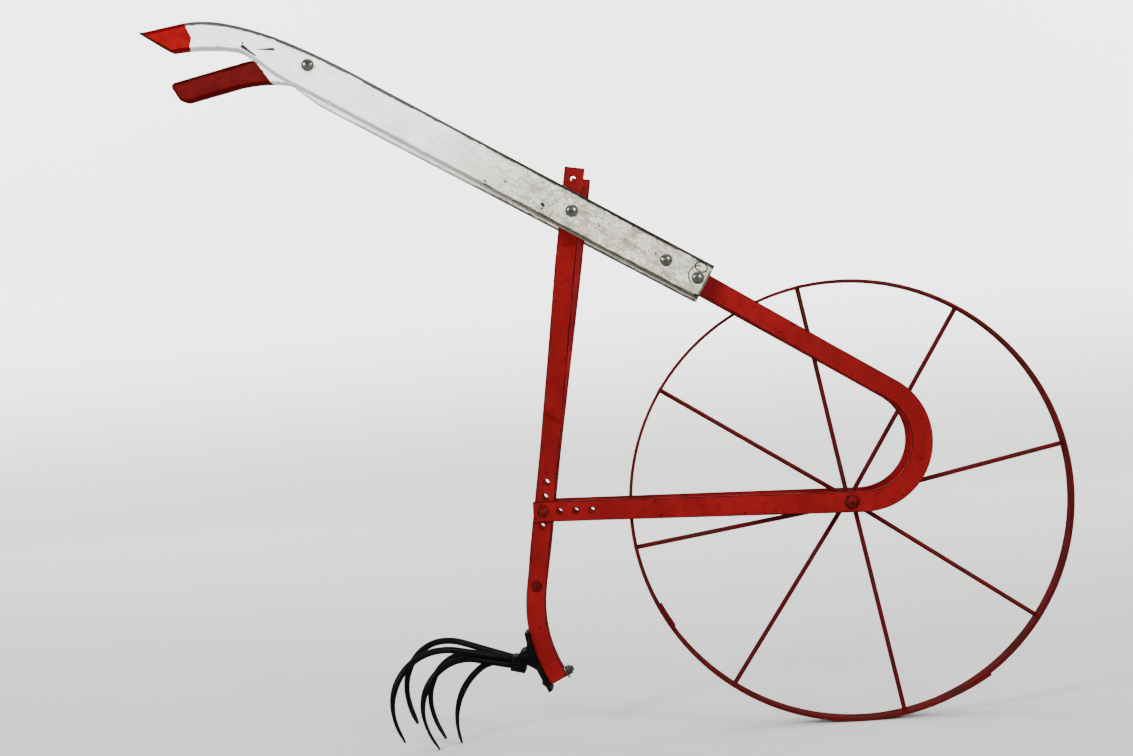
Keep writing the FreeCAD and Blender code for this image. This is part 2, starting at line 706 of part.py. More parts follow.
def build_frame_bar():
    half = D["bar_width"] / 2
    fall = D["lower_arm_fall"]
    rise = D["upper_arm_rise"]
    lead = D["nose_lead"]

    def on_lower_arm(reach, offset):
        """Return the place this far behind the axle along the lower arm, offset upward."""
        x = AXLE_X - reach * cosine(fall) + offset * sine(fall)
        z = AXLE_Z + reach * sine(fall) + offset * cosine(fall)
        return x, z

    def across_upper_arm(reach, offset):
        """Return the place this far behind the nose bend along the upper arm, offset upward."""
        x, z = on_upper_arm(reach)
        return x + offset * sine(rise), z + offset * cosine(rise)

    rear = D["junction_reach"] + D["bar_end_margin"]
    lower = make_body("lower_arm")
    sketch = make_sketch(lower, "XZ_Plane")
    low_rear, high_rear = on_lower_arm(rear, -half), on_lower_arm(rear, half)
    low_front, high_front = on_lower_arm(-lead, -half), on_lower_arm(-lead, half)
    draw_path(sketch, [low_rear, low_front, high_front, high_rear])
    pad(lower, sketch, DRILL_REACH)

    nose_y = D["nose_half_gap"]
    flat = D["bar_thickness"] / 2
    front_x = NOSE_X + D["nose_radius"] + PLAN_MARGIN
    lower_plan = plan_wall("lower_arm_plan", [
        (JUNCTION_X - PLAN_MARGIN, LOWER_ARM_Y, flat),
        (JUNCTION_X + D["junction_straight"], LOWER_ARM_Y, flat),
        (AXLE_X - D["lower_arm_flare"], nose_y, flat),
        (front_x, nose_y, flat)])

    end = D["handle_bolt_reach"] + D["handle_bolt_spacing"] + D["bar_end_margin"]
    upper = make_body("upper_arm")
    sketch = make_sketch(upper, "XZ_Plane")
    draw_path(sketch, [
        low_front + (D["nose_radius"] + half,),
        across_upper_arm(0, half),
        across_upper_arm(end, half),
        across_upper_arm(end, -half),
        across_upper_arm(0, -half) + (half - D["nose_radius"],),
        high_front,
    ])
    pad(upper, sketch, DRILL_REACH)

    # Behind its bend the upper arm lies on the inner face of the board.
    slant = flat / cosine(D["handle_splay"])
    slope = tangent(D["handle_splay"])
    bend_x = FRONT_BOLT[0] + (D["handle_half_gap"] - slant - nose_y) / slope
    back_x = MIDDLE_BOLT[0] - PLAN_MARGIN
    upper_plan = plan_wall("upper_arm_plan", [
        (back_x, board_y(back_x) - slant, slant), (bend_x, nose_y, flat), (front_x, nose_y, flat)])

    lower_arm = common("lower_arm_bar", [lower, lower_plan])
    upper_arm = common("upper_arm_bar", [upper, upper_plan])
    blank = fuse("frame_bar_blank", [lower_arm, upper_arm])
    drills = [drill("axle_drill", (AXLE_X, AXLE_Z), AXLE_HOLE, -DRILL_REACH, 0),
              drill("junction_drill", (JUNCTION_X, JUNCTION_Z), BOLT_HOLE, -DRILL_REACH, 0)]
    for hole in range(1, ARM_SPARE_HOLES + 1):
        reach = D["junction_reach"] - D["arm_hole_pitch"] * hole
        place = on_lower_arm(reach, 0)
        drills.append(drill(f"arm_drill_{hole}", place, D["spare_hole_radius"], -DRILL_REACH, 0))
    for name, place in (("front", FRONT_BOLT), ("middle", MIDDLE_BOLT)):
        drills.append(board_drill(f"arm_{name}_drill", place, BOLT_HOLE, -D["bar_width"], D["bar_width"]))
    bar = cut("frame_bar", blank, fuse("frame_bar_drills", drills))
    node(bar, "frame_bar_right")
    mirror(bar, "frame_bar_left")


# --------------------------------------------------------------------------------------------------
# Standards: flat bars that carry the tool head at the foot and the handles at the top
# --------------------------------------------------------------------------------------------------


# Spare holes below and above the junction, counted in hole pitches.
STANDARD_SPARE_HOLES = (-1, 1, 2)


def standard_body(name):
    """Make a body in the standard's frame: origin at the junction, Z up along the standard."""
    return make_body(name, (JUNCTION_X, 0, JUNCTION_Z), D["standard_lean"], Vector(0, 1, 0))


def foot_outline():
    """Return the outline of the curved foot, starting at the top of its back edge."""
    half = D["standard_width"] / 2
    top, bend = -D["foot_neck_bottom"], -D["foot_bend_start"]
    back, heading = walk((-half, bend), -90, [(D["foot_radius"] + half, D["foot_turn"]), D["foot_run"]])
    front, heading = walk((half, bend), -90, [(D["foot_radius"] - half, D["foot_turn"]), D["foot_run"]])
    bend_front, bend_end, toe = front
    return [(-half, top)] + back + [toe, bend_end + (-bend_front[2],), bend_front[:2], (half, top)]


def build_standard():
    body = standard_body("standard_bar")
    closed = D["foot_half_gap"] + D["standard_thickness"] / 2
    # Where the standard lies on the board: the board's inner face, then half a thickness inside it.
    inset = D["standard_thickness"] / 2 / cosine(D["handle_splay"])
    twist_place = on_standard(D["standard_twist_end"])
    top_place = on_standard(D["standard_height"])
    stations = [
        (-D["foot_neck_bottom"], closed, 0),
        (-D["foot_neck_top"], D["standard_half_gap"], 0),
        (D["standard_flare_up"], D["standard_half_gap"], 0),
        (D["standard_twist_end"], board_y(twist_place[0]) - inset, D["handle_splay"]),
        (D["standard_height"], board_y(top_place[0]) - inset, D["handle_splay"]),
    ]
    sections = []
    wide = D["standard_width"] / 2
    thin = D["standard_thickness"] / 2
    for height, gap, turn in stations:
        sketch = make_sketch(body, "XY_Plane", (0, -gap, height), turn)
        draw_path(sketch, [(-wide, -thin), (wide, -thin), (wide, thin), (-wide, thin)])
        sections.append(sketch)
    loft = body.newObject("PartDesign::AdditiveLoft", "standard_loft")
    loft.Profile = sections[0]
    loft.Sections = sections[1:]
    loft.Ruled = True
    foot = make_sketch(body, "XZ_Plane", (0, 0, D["foot_half_gap"]))
    draw_path(foot, foot_outline())
    pad(body, foot, D["standard_thickness"])
    drills = []
    holes = [("junction_hole", 0, BOLT_HOLE), ("foot_hole", -D["foot_rivet_drop"], BOLT_HOLE)]
    for count, name in zip(STANDARD_SPARE_HOLES, ("low", "high", "top")):
        holes.append((f"spare_hole_{name}", D["standard_hole_pitch"] * count, D["spare_hole_radius"]))
    for name, height, radius in holes:
        drills.append(drill(name, on_standard(height), radius, -DRILL_REACH, 0))
    end_hole = on_standard(D["standard_height"] - D["top_hole_margin"])
    for name, place, radius in (("board_hole", REAR_BOLT, BOLT_HOLE),
                                ("end_hole", end_hole, D["spare_hole_radius"])):
        drills.append(board_drill(name, place, radius, -D["bar_width"], D["bar_width"]))
    bar = cut("standard", body, fuse("standard_drills", drills))
    node(bar, "standard_right")
    mirror(bar, "standard_left")


# --------------------------------------------------------------------------------------------------
# Handles: boards bolted to the outside of the upper arms and the standards
# --------------------------------------------------------------------------------------------------


def board_edge(offset, steps):
    """Walk along one long edge of a board, this far above its middle line, in the board's own plane."""
    rise = D["handle_rise"]
    front = D["handle_front"]
    corner = (-front * cosine(rise) - offset * sine(rise), offset * cosine(rise) - front * sine(rise))
    return walk(corner, rise, steps)[0]


def low_edge(*last_steps):
    """Walk along the lower edge from the front corner, ending with the given steps."""
    steps = [D["low_bend_start"] + D["handle_front"], (D["low_bend_one_radius"], D["low_bend_one_turn"]),
             D["low_slope_length"], (D["low_bend_two_radius"], -D["low_bend_two_turn"])]
    return board_edge(-D["handle_width"] / 2, steps + list(last_steps))


def top_edge(last_step):
    """Walk along the upper edge from the front corner, over the crown and on by the given step."""
    crown_turn = D["handle_rise"] - D["top_bend_one_turn"] - D["top_bend_two_turn"] + D["grip_fall"]
    steps = [D["top_bend_start"] + D["handle_front"], (D["top_bend_one_radius"], -D["top_bend_one_turn"]),
             (D["top_bend_two_radius"], -D["top_bend_two_turn"]), (D["top_bend_three_radius"], -crown_turn)]
    return board_edge(D["handle_width"] / 2, steps + [last_step])


def board_outline():
    """Return the outline of a whole board, from the lower front corner to the rounded grip and back."""
    fall, lean = D["grip_fall"], D["grip_end_lean"]
    heel, tip = D["grip_heel_radius"], D["grip_tip_radius"]
    under_grip = (D["low_bend_three_radius"],
                  -(D["handle_rise"] + D["low_bend_one_turn"] - D["low_bend_two_turn"] + fall))
    top = top_edge(D["grip_length"])
    # From where the lower edge runs straight to the end of the upper edge: along and across the grip.
    low_end = low_edge(under_grip)[-1]
    back, up = top[-1][0] - low_end[0], top[-1][1] - low_end[1]
    along = back * cosine(fall) - up * sine(fall)
    across = back * sine(fall) + up * cosine(fall)
    end = (across - heel * (1 - sine(lean)) - tip * (1 + sine(lean))) / cosine(lean)
    run = along + (tip - heel) * cosine(lean) - end * sine(lean)
    low = low_edge(under_grip, run, (heel, 90 - lean), end, (tip, 90 + lean))[:-1]
    # The upper edge is walked backward here, so each arc moves to the corner that now comes before it.
    places = [corner[:2] for corner in top]
    bends = [corner[2] if len(corner) == 3 else None for corner in top]
    back = []
    for index in range(len(places) - 1, -1, -1):
        bend = bends[index - 1] if index > 0 else None
        back.append(places[index] + ((-bend,) if bend is not None else ()))
    return low + back


def break_outline():
    """Return an outline round what has broken off the grip: all that is behind a slanting line."""
    low = low_edge((D["low_bend_three_radius"], -D["stub_low_turn"]))[-1]
    top = top_edge(D["stub_length"])[-1]
    below = (low[0] * 2 - top[0], low[1] * 2 - top[1])
    above = (top[0] * 2 - low[0], top[1] * 2 - low[1])
    back = D["grip_length"] * 2
    return [below, (below[0] + back, below[1]), (above[0] + back, above[1]), above]


def build_board(whole):
    name = "whole" if whole else "stub"
    body = board_body(f"board_{name}", FRONT_BOLT)
    sketch = make_sketch(body, "XZ_Plane")
    draw_path(sketch, board_outline())
    block = pad(body, sketch, D["handle_thickness"], reverse=True)
    doc.recompute()
    rounds = body.newObject("PartDesign::Fillet", f"board_{name}_rounds")
    areas = {f"Face{index}": face.Area for index, face in enumerate(block.Shape.Faces, start=1)}
    broad_faces = sorted(areas, key=areas.get)[-2:]
    rounds.Base = (block, broad_faces)
    bind(rounds, "Radius", D["handle_edge_radius"])
    tools = []
    through = D["handle_thickness"] * 2
    places = {"front": FRONT_BOLT, "middle": MIDDLE_BOLT, "rear": REAR_BOLT, "rung": RUNG_BOLT}
    for key, place in places.items():
        tools.append(board_drill(f"{name}_{key}_drill", place, BOLT_HOLE, -through, through))
    if not whole:
        gone = board_body("broken_end", FRONT_BOLT)
        sketch = make_sketch(gone, "XZ_Plane")
        draw_path(sketch, break_outline())
        pad(gone, sketch, through * 2, midplane=True)
        tools.append(gone)
    return cut(f"handle_{name}", body, fuse(f"board_{name}_tools", tools))


def build_rung():
    """Round bar between the boards, trimmed by their inner faces, with a hole for a bolt in each end."""
    across = D["rung_radius"] * 2
    trim = board_body("rung_trim", RUNG_BOLT)
    sketch = make_sketch(trim, "XZ_Plane")
    draw_path(sketch, [(-across, -across), (across, -across), (across, across), (-across, across)])
    pad(trim, sketch, D["handle_thickness"] * 2, reverse=True)
    hole = board_drill("rung_hole", RUNG_BOLT, BOLT_HOLE, -D["rung_bolt_depth"], DRILL_LEAD)
    tools = [trim, hole]
    for tool in (trim, hole):
        twin = doc.addObject("Part::Mirroring", f"{tool.Name}_mirrored")
        twin.Source = tool
        twin.Normal = Vector(0, 1, 0)
        tools.append(twin)
    reach = board_y(RUNG_BOLT[0]) + D["handle_thickness"]
    rod = drill("rung_rod", RUNG_BOLT, D["rung_radius"], -reach, reach)
    node(cut("rung", rod, fuse("rung_tools", tools)), "handle_rung")


def build_handle_bolts():
    """Bolts through the boards: three with nuts inside, and one screwed into the end of the rung."""
    outside = D["handle_thickness"]
    for key, place, inside in (("front", FRONT_BOLT, D["bar_thickness"]),
                               ("middle", MIDDLE_BOLT, D["bar_thickness"]),
                               ("rear", REAR_BOLT, D["standard_thickness"])):
        screw = board_body(f"{key}_bolt", place)
        end = -inside - D["nut_height"] - D["bolt_end"]
        bolt(screw, D["bolt_radius"], D["dome_radius"], D["dome_height"], outside, end)
        node(screw, f"handle_bolt_{key}_right")
        mirror(screw, f"handle_bolt_{key}_left")
        lock = board_body(f"{key}_nut", place)
        nut(lock, -inside, -1, BOLT_HOLE)
        node(lock, f"handle_nut_{key}_right")
        mirror(lock, f"handle_nut_{key}_left")
    screw = board_body("rung_bolt", RUNG_BOLT)
    bolt(screw, D["bolt_radius"], D["dome_radius"], D["dome_height"], outside, -D["rung_bolt_depth"])
    node(screw, "rung_bolt_right")
    mirror(screw, "rung_bolt_left")


def build_handles():
    node(build_board(False), "handle_right")
    mirror(build_board(True), "handle_left")
    build_rung()
    build_handle_bolts()


# --------------------------------------------------------------------------------------------------
# Bolts that hold the standards to the frame bars and to each other
# --------------------------------------------------------------------------------------------------


def cross_bolt(name, place, grip):
    """Make a bolt from right to left through everything within grip of the middle plane, and its nut."""
    screw = make_body(f"{name}_screw", place)
    end = grip + D["nut_height"] + D["bolt_end"]
    node(bolt(screw, D["bolt_radius"], D["dome_radius"], D["dome_height"], -grip, end), f"{name}_bolt")
    node(nut(make_body(f"{name}_lock", place), grip, 1, BOLT_HOLE), f"{name}_nut")


def build_junction():
    """Bolts, nuts and spacers across both standards, at the lower arms and at the foot."""
    rivet_x, rivet_z = on_standard(-D["foot_rivet_drop"])
    bars = D["standard_thickness"] + D["bar_thickness"]
    gap = D["standard_half_gap"] - D["standard_thickness"] / 2
    foot_gap = D["foot_half_gap"]
    for name, place, gap, grip in (
            ("junction", (JUNCTION_X, 0, JUNCTION_Z), gap, gap + bars),
            ("foot", (rivet_x, 0, rivet_z), foot_gap, foot_gap + D["standard_thickness"])):
        cross_bolt(name, place, grip)
        spacer = make_body(f"{name}_ring", place)
        node(ring(spacer, D["spacer_radius"], BOLT_HOLE, -gap, gap), f"{name}_spacer")


# --------------------------------------------------------------------------------------------------
# Tool head: a bracket on the foot, a clamp block hinged on it, and five tines
# --------------------------------------------------------------------------------------------------


def on_foot(radius, turn):
    """Return the place at this radius and turn of the foot's curve, in the standard's frame."""
    return D["foot_radius"] - radius * cosine(turn), -D["foot_bend_start"] - radius * sine(turn)


def from_standard(x, z):
    """Turn a place in the standard's frame into one in the machine's frame."""
    lean = D["standard_lean"]
    return JUNCTION_X + x * cosine(lean) + z * sine(lean), JUNCTION_Z - x * sine(lean) + z * cosine(lean)


# The clamp bolt, behind the plate on the back of the foot.
PLATE_FRONT = D["foot_radius"] + D["standard_width"] / 2
PLATE_BACK = PLATE_FRONT + D["bracket_thickness"]
EYE = on_foot(PLATE_BACK + D["clamp_gap"] + D["ear_radius"], D["ear_turn"])
EYE_X, EYE_Z = from_standard(*EYE)

# The clamp block's rear face, where the middle of the tines' bundle leaves it.
CLAMP_X = EYE_X - D["clamp_eye_back"] * cosine(D["tine_rise"]) - D["clamp_eye_lift"] * sine(D["tine_rise"])
CLAMP_Z = EYE_Z + D["clamp_eye_back"] * sine(D["tine_rise"]) - D["clamp_eye_lift"] * cosine(D["tine_rise"])

# Each straight edge of an ear leaves its round end this much short of a half circle.
EAR_TAPER = 10

# The tool bolt crosses the foot here, square to it, at this angle above level.
TOOL_BOLT_RISE = D["foot_turn"] - D["standard_lean"]


def tool_bolt_place():
    """Return the place where the tool bolt crosses the foot's middle line, in the machine's frame."""
    along, drop = on_foot(D["foot_radius"], D["foot_turn"])
    run = D["foot_run"] - D["tool_bolt_rise"]
    return from_standard(along + run * sine(D["foot_turn"]), drop - run * cosine(D["foot_turn"]))


def tool_bolt_body(name):
    """Make a body whose Y runs forward along the tool bolt, from the foot's middle line."""
    x, z = tool_bolt_place()
    rise = math.radians(TOOL_BOLT_RISE.value)
    return make_body(name, (x, 0, z), 90.0, Vector(math.sin(rise), 0, -math.cos(rise)))


def build_bracket():
    """Curved plate behind the foot with two ears that hold the clamp bolt."""
    plate = standard_body("bracket_plate")
    sketch = make_sketch(plate, "XZ_Plane")
    start = D["foot_turn"] - D["bracket_turn"]
    run = D["foot_run"] + D["bracket_toe"]
    near, far = [walk(on_foot(radius, start), start - 90, [(radius, D["bracket_turn"]), run])[0]
                 for radius in (PLATE_FRONT, PLATE_BACK)]
    draw_path(sketch, far + [near[2], near[1] + (-PLATE_FRONT,), near[0][:2]])
    pad(plate, sketch, D["bracket_half_width"] * 2, midplane=True)

    eye_radius = D["ear_radius"]
    tilt = D["ear_tilt"]
    middle_radius = (PLATE_FRONT + PLATE_BACK) / 2
    pieces = [plate]
    inner = D["bracket_half_width"] - D["ear_thickness"]
    for side, level in (("right", inner), ("left", -D["bracket_half_width"])):
        ear = standard_body(f"bracket_ear_{side}")
        sketch = make_sketch(ear, "XZ_Plane", (0, 0, level))
        top, bottom = tilt - EAR_TAPER, tilt + EAR_TAPER
        draw_path(sketch, [
            (EYE[0] + eye_radius * sine(top), EYE[1] + eye_radius * cosine(top), eye_radius),
            (EYE[0] - eye_radius * sine(bottom), EYE[1] - eye_radius * cosine(bottom)),
            on_foot(middle_radius, D["foot_turn"] - D["ear_margin"]),
            on_foot(middle_radius, start + D["ear_margin"]),
        ])
        pad(ear, sketch, D["ear_thickness"])
        pieces.append(ear)
    blank = fuse("bracket_blank", pieces)
    through = tool_bolt_body("bracket_bolt_hole")
    sketch = make_sketch(through, "XZ_Plane", (0, 0, D["standard_width"]))
    draw_circle(sketch, 0, 0, BOLT_HOLE)
    pad(through, sketch, D["standard_width"] * 2, midplane=True)
    eye_drill = drill("bracket_eye_drill", (EYE_X, EYE_Z), BOLT_HOLE, -DRILL_REACH, DRILL_REACH)
    node(cut("bracket", blank, fuse("bracket_drills", [through, eye_drill])), "tool_bracket")


def build_clamp():
    """Block that holds the tines, with an eye for the clamp bolt, and the bolts of the tool head."""
    block = make_body("clamp_block_blank", (CLAMP_X, 0, CLAMP_Z), D["tine_rise"], Vector(0, 1, 0))
    width = (D["bracket_half_width"] - D["ear_thickness"]) * 2
    sketch = make_sketch(block, "XZ_Plane")
    draw_path(sketch, [(0, -D["clamp_below"]), (D["clamp_length"], -D["clamp_below"]),
                       (D["clamp_length"], D["clamp_eye_lift"]), (0, D["clamp_above"])])
    pad(block, sketch, width, midplane=True)
    sketch = make_sketch(block, "XZ_Plane")
    draw_circle(sketch, D["clamp_eye_back"], D["clamp_eye_lift"], D["ear_radius"])
    pad(block, sketch, width, midplane=True)
    hole = drill("clamp_eye_drill", (EYE_X, EYE_Z), BOLT_HOLE, -DRILL_REACH, DRILL_REACH)
    clamp = node(cut("clamp", block, hole), "tine_clamp")

    cross_bolt("clamp", (EYE_X, 0, EYE_Z), D["bracket_half_width"])

    half = D["standard_width"] / 2
    screw = tool_bolt_body("tool_screw")
    end = half + D["tool_washer_thickness"] + D["nut_height"] + D["bolt_end"]
    seat = -half - D["bracket_thickness"]
    bolt(screw, D["bolt_radius"], D["dome_radius"], D["dome_height"], seat, end)
    node(screw, "tool_bolt")
    washer = tool_bolt_body("tool_ring")
    ring(washer, D["tool_washer_radius"], BOLT_HOLE, half, half + D["tool_washer_thickness"])
    node(washer, "tool_washer")
    lock = tool_bolt_body("tool_lock")
    node(nut(lock, half + D["tool_washer_thickness"], 1, BOLT_HOLE), "tool_nut")
    return clamp


# Tines from right to left: shape, side, and the row that it leaves the clamp in, upper or lower.
TINES = (("outer", -1, 1), ("inner", -1, -1), ("centre", 0, -1), ("inner", 1, -1), ("outer", 1, 1))


def tine_section(path, name, corner, slope, across, within):
    """Oval section of a tine, square to its path: half its size across the bends' plane and within it."""
    oval = doc.addObject("Part::Ellipse", name)
    bind(oval, "MajorRadius", across)
    bind(oval, "MinorRadius", within)
    angle = math.radians(slope.value)
    along = Vector(math.cos(angle), math.sin(angle), 0)
    turn = Rotation(Vector(0, 0, 1), Vector(along.y, -along.x, 0), along, "ZXY")
    spot = Placement(Vector(corner[0].value, corner[1].value, 0), turn)
    oval.Placement = path.Placement.multiply(spot)
    return oval


def sweep_along(path, name, edges, sections):
    """Solid carried along some edges of a path, through its sections in turn."""
    doc.recompute()
    sweep = doc.addObject("Part::Sweep", name)
    sweep.Sections = sections
    sweep.Spine = (path, [f"Edge{edge}" for edge in edges])
    sweep.Solid = True
    sweep.Frenet = False
    return sweep


def build_tine(number, shape, side, row, clamp):
    """Round tine with a forged flat end: a run out of the clamp, three bends down and forward, and a
    straight tip."""
    yaw = D[f"{shape}_tine_yaw"].value if side else 0.0
    offset = D[f"{shape}_tine_offset"].value if side else 0.0
    exit_x = CLAMP_X + D["tine_row_offset"] * row * sine(D["tine_rise"])
    exit_z = CLAMP_Z + D["tine_row_offset"] * row * cosine(D["tine_rise"])
    # The tine starts inside the clamp block, and what is inside is trimmed off at the end.
    bite = D["clamp_length"] / 3
    start = (-bite * cosine(D["tine_rise"]), -bite * sine(D["tine_rise"]))
    before = [bite + D[f"{shape}_tine_run"],
              (D[f"{shape}_tine_first_radius"], -D[f"{shape}_tine_first_turn"])]
    after = [(D[f"{shape}_tine_third_radius"], -D[f"{shape}_tine_third_turn"]), D[f"{shape}_tine_tip_run"]]
    # The second bend is as large as the height between the other stretches and the tip needs.
    turn = D[f"{shape}_tine_second_turn"]
    upper, heading = walk(start, D["tine_rise"], before)
    blade_heading = heading - turn
    lower, tip_heading = walk((0, 0), blade_heading, after)
    tip_level = D["tine_tip_half_thickness"] * cosine(tip_heading + 180) + D[f"{shape}_tine_tip_height"]
    drop = exit_z + upper[-1][1] + lower[-1][1] - tip_level
    radius = drop / (cosine(heading) - cosine(blade_heading))
    flare = D["tine_flare_turn"]
    corners, tip_heading = walk(start, D["tine_rise"],
                                before + [(radius, flare - turn), (radius, -flare)] + after)

    path = doc.addObject("Sketcher::SketchObject", f"tine_path_{number}")
    base = Vector(exit_x.value, offset * side, exit_z.value)
    turned = Rotation(Vector(0, 0, 1), 180 - side * yaw).multiply(Rotation(Vector(1, 0, 0), 90))
    path.Placement = Placement(base, turned)
    for letter, value in (("x", exit_x), ("z", exit_z)):
        bind(path, f"Placement.Base.{letter}", value)
    draw_path(path, corners, closed=False)
    rod_size = (D["tine_radius"], D["tine_radius"])
    blade_size = (D["tine_blade_half_width"], D["tine_blade_half_thickness"])
    tip_size = (D["tine_tip_half_width"], D["tine_tip_half_thickness"])
    rod_root, first_bend, second_bend, forged, blade_top, blade_end, tip = corners
    root, neck, heel, shoulder, point = [
        tine_section(path, f"tine_{key}_{number}", corner, slope, *size)
        for key, corner, slope, size in (("root", rod_root, D["tine_rise"], rod_size),
                                         ("neck", forged, blade_heading + flare, rod_size),
                                         ("heel", blade_top, blade_heading, blade_size),
                                         ("shoulder", blade_end, tip_heading, blade_size),
                                         ("point", tip, tip_heading, tip_size))]
    rod = sweep_along(path, f"tine_rod_{number}", (1, 2, 3), [root, neck])
    flat = sweep_along(path, f"tine_flare_{number}", (4,), [neck, heel])
    blade = sweep_along(path, f"tine_blade_{number}", (5,), [heel, shoulder])
    end = sweep_along(path, f"tine_end_{number}", (6,), [shoulder, point])
    whole = fuse(f"tine_whole_{number}", [rod, flat, blade, end])
    node(cut(f"tine_trimmed_{number}", whole, clamp), f"tine_{number}")


def build_tool_head():
    build_bracket()
    clamp = build_clamp()
    for number, (shape, side, row) in enumerate(TINES, start=1):
        build_tine(number, shape, side, row, clamp)


# --------------------------------------------------------------------------------------------------
# Build, test and write
# --------------------------------------------------------------------------------------------------

build_wheel()
build_axle()
build_frame_bar()
build_standard()
build_handles()
build_junction()
build_tool_head()
doc.recompute()

for item in doc.Objects:
    if "Invalid" in item.State or "Error" in item.State:
        raise RuntimeError(f"{item.Name} ({item.Label}) did not build: {item.State}")
for name, item in NODES.items():
    if item.Shape.isNull() or not item.Shape.isValid() or len(item.Shape.Solids) != 1:
        raise RuntimeError(f"{name} is not one sound solid")

os.makedirs("parts", exist_ok=True)
for name, item in NODES.items():
    item.Shape.exportStep(os.path.join("parts", f"{name}.step"))
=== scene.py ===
"""Garden cultivator: paint, wood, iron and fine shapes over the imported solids."""
import functools
import json
import math

import bmesh
import bpy
import numpy as np
from mathutils import Matrix, Vector, noise


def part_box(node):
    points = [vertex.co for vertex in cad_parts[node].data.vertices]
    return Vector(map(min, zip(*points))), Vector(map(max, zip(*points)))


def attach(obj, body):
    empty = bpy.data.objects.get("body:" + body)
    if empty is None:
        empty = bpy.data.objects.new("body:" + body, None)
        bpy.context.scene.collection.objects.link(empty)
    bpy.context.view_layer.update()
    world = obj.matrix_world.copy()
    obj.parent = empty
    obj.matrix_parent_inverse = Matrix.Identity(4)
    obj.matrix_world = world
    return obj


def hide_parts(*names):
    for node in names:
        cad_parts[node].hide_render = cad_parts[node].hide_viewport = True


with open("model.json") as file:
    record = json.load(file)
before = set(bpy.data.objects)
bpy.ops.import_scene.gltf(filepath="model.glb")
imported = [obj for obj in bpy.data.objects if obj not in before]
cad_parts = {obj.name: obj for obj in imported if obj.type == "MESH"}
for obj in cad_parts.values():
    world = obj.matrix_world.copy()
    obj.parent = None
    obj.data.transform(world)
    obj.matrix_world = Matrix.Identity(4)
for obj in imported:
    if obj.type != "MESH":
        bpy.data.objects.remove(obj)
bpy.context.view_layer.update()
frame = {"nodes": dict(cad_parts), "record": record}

MM = 0.001
SIDES = ("right", "left")
BARS = tuple(f"frame_bar_{side}" for side in SIDES)
STANDARDS = tuple(f"standard_{side}" for side in SIDES)
SPOKES = tuple(f"spoke_{number}" for number in range(1, 9))
TINES = tuple(f"tine_{number}" for number in range(1, 6))
HANDLE_NUTS = tuple(f"handle_nut_{place}_{side}" for side in SIDES for place in ("front", "middle", "rear"))
RUNG_BOLTS = tuple(f"rung_bolt_{side}" for side in SIDES)

# Wiring of node trees


class Wiring:
    """Adds steps to one node tree. Each call gives the output that the next step takes."""

    def __init__(self, tree):
        self.tree = tree

    def feed(self, socket, value):
        if isinstance(value, bpy.types.NodeSocket):
            self.tree.links.new(value, socket)
        else:
            socket.default_value = value

    def step(self, kind, inputs, **settings):
        step = self.tree.nodes.new(kind)
        for name, value in settings.items():
            setattr(step, name, value)
        for name, value in inputs.items():
            self.feed(step.inputs[name], value)
        return step.outputs

    def add(self, kind, inputs, output=0, **settings):
        return self.step(kind, inputs, **settings)[output]

    def calc(self, operation, *values, clamp=False):
        return self.add("ShaderNodeMath", dict(enumerate(values)), operation=operation, use_clamp=clamp)

    def chain(self, operation, values):
        return functools.reduce(lambda first, second: self.calc(operation, first, second), values)

    def either(self, *masks):
        return self.chain("MAXIMUM", masks)

    def both(self, *masks):
        return self.chain("MULTIPLY", masks)

    times = both

    def plus(self, *values):
        return self.chain("ADD", values)

    def minus(self, *values):
        return self.chain("SUBTRACT", values)

    def inverse(self, mask):
        return self.minus(1.0, mask)

    def vector(self, operation, *values, output=0):
        return self.add("ShaderNodeVectorMath", dict(enumerate(values)), output, operation=operation)

    def measure(self, operation, *values):
        return self.vector(operation, *values, output="Value")

    def scaled(self, vector, size):
        return self.add("ShaderNodeVectorMath", {0: vector, "Scale": size}, operation="SCALE")

    def split(self, vector):
        return tuple(self.step("ShaderNodeSeparateXYZ", {"Vector": vector}))

    def combine(self, x=0.0, y=0.0, z=0.0):
        return self.add("ShaderNodeCombineXYZ", {"X": x, "Y": y, "Z": z})

    def fade(self, value, low, high, start=0.0, end=1.0):
        ends = {"From Min": low, "From Max": high, "To Min": start, "To Max": end}
        return self.add("ShaderNodeMapRange", {"Value": value, **ends}, interpolation_type="SMOOTHSTEP")

    def between(self, mask, start, end):
        """From start, where the mask is 0, to end, where it is 1."""
        return self.fade(mask, 0.0, 1.0, start, end)

    def noise(self, place, scale, detail=3.0, roughness=0.55, distortion=0.0):
        return self.add("ShaderNodeTexNoise", {"Vector": place, "Scale": scale, "Detail": detail,
                                               "Roughness": roughness, "Distortion": distortion})

    def shake(self, place, scale, detail):
        return self.add("ShaderNodeTexNoise", {"Vector": place, "Scale": scale, "Detail": detail}, "Color")

    def mix(self, share, under, over):
        return self.add("ShaderNodeMix", {0: share, 6: under, 7: over}, 2, data_type="RGBA")

    def over(self, under, tone, *masks):
        """A tone laid over what is there, where all the masks are."""
        return self.mix(self.both(*masks), under, tone)

    def use(self, group, place, output=0, **inputs):
        """One of the shared effects, placed with its own values."""
        return self.add("ShaderNodeGroup", {"Place": place, **inputs}, output,
                        node_tree=bpy.data.node_groups[group])


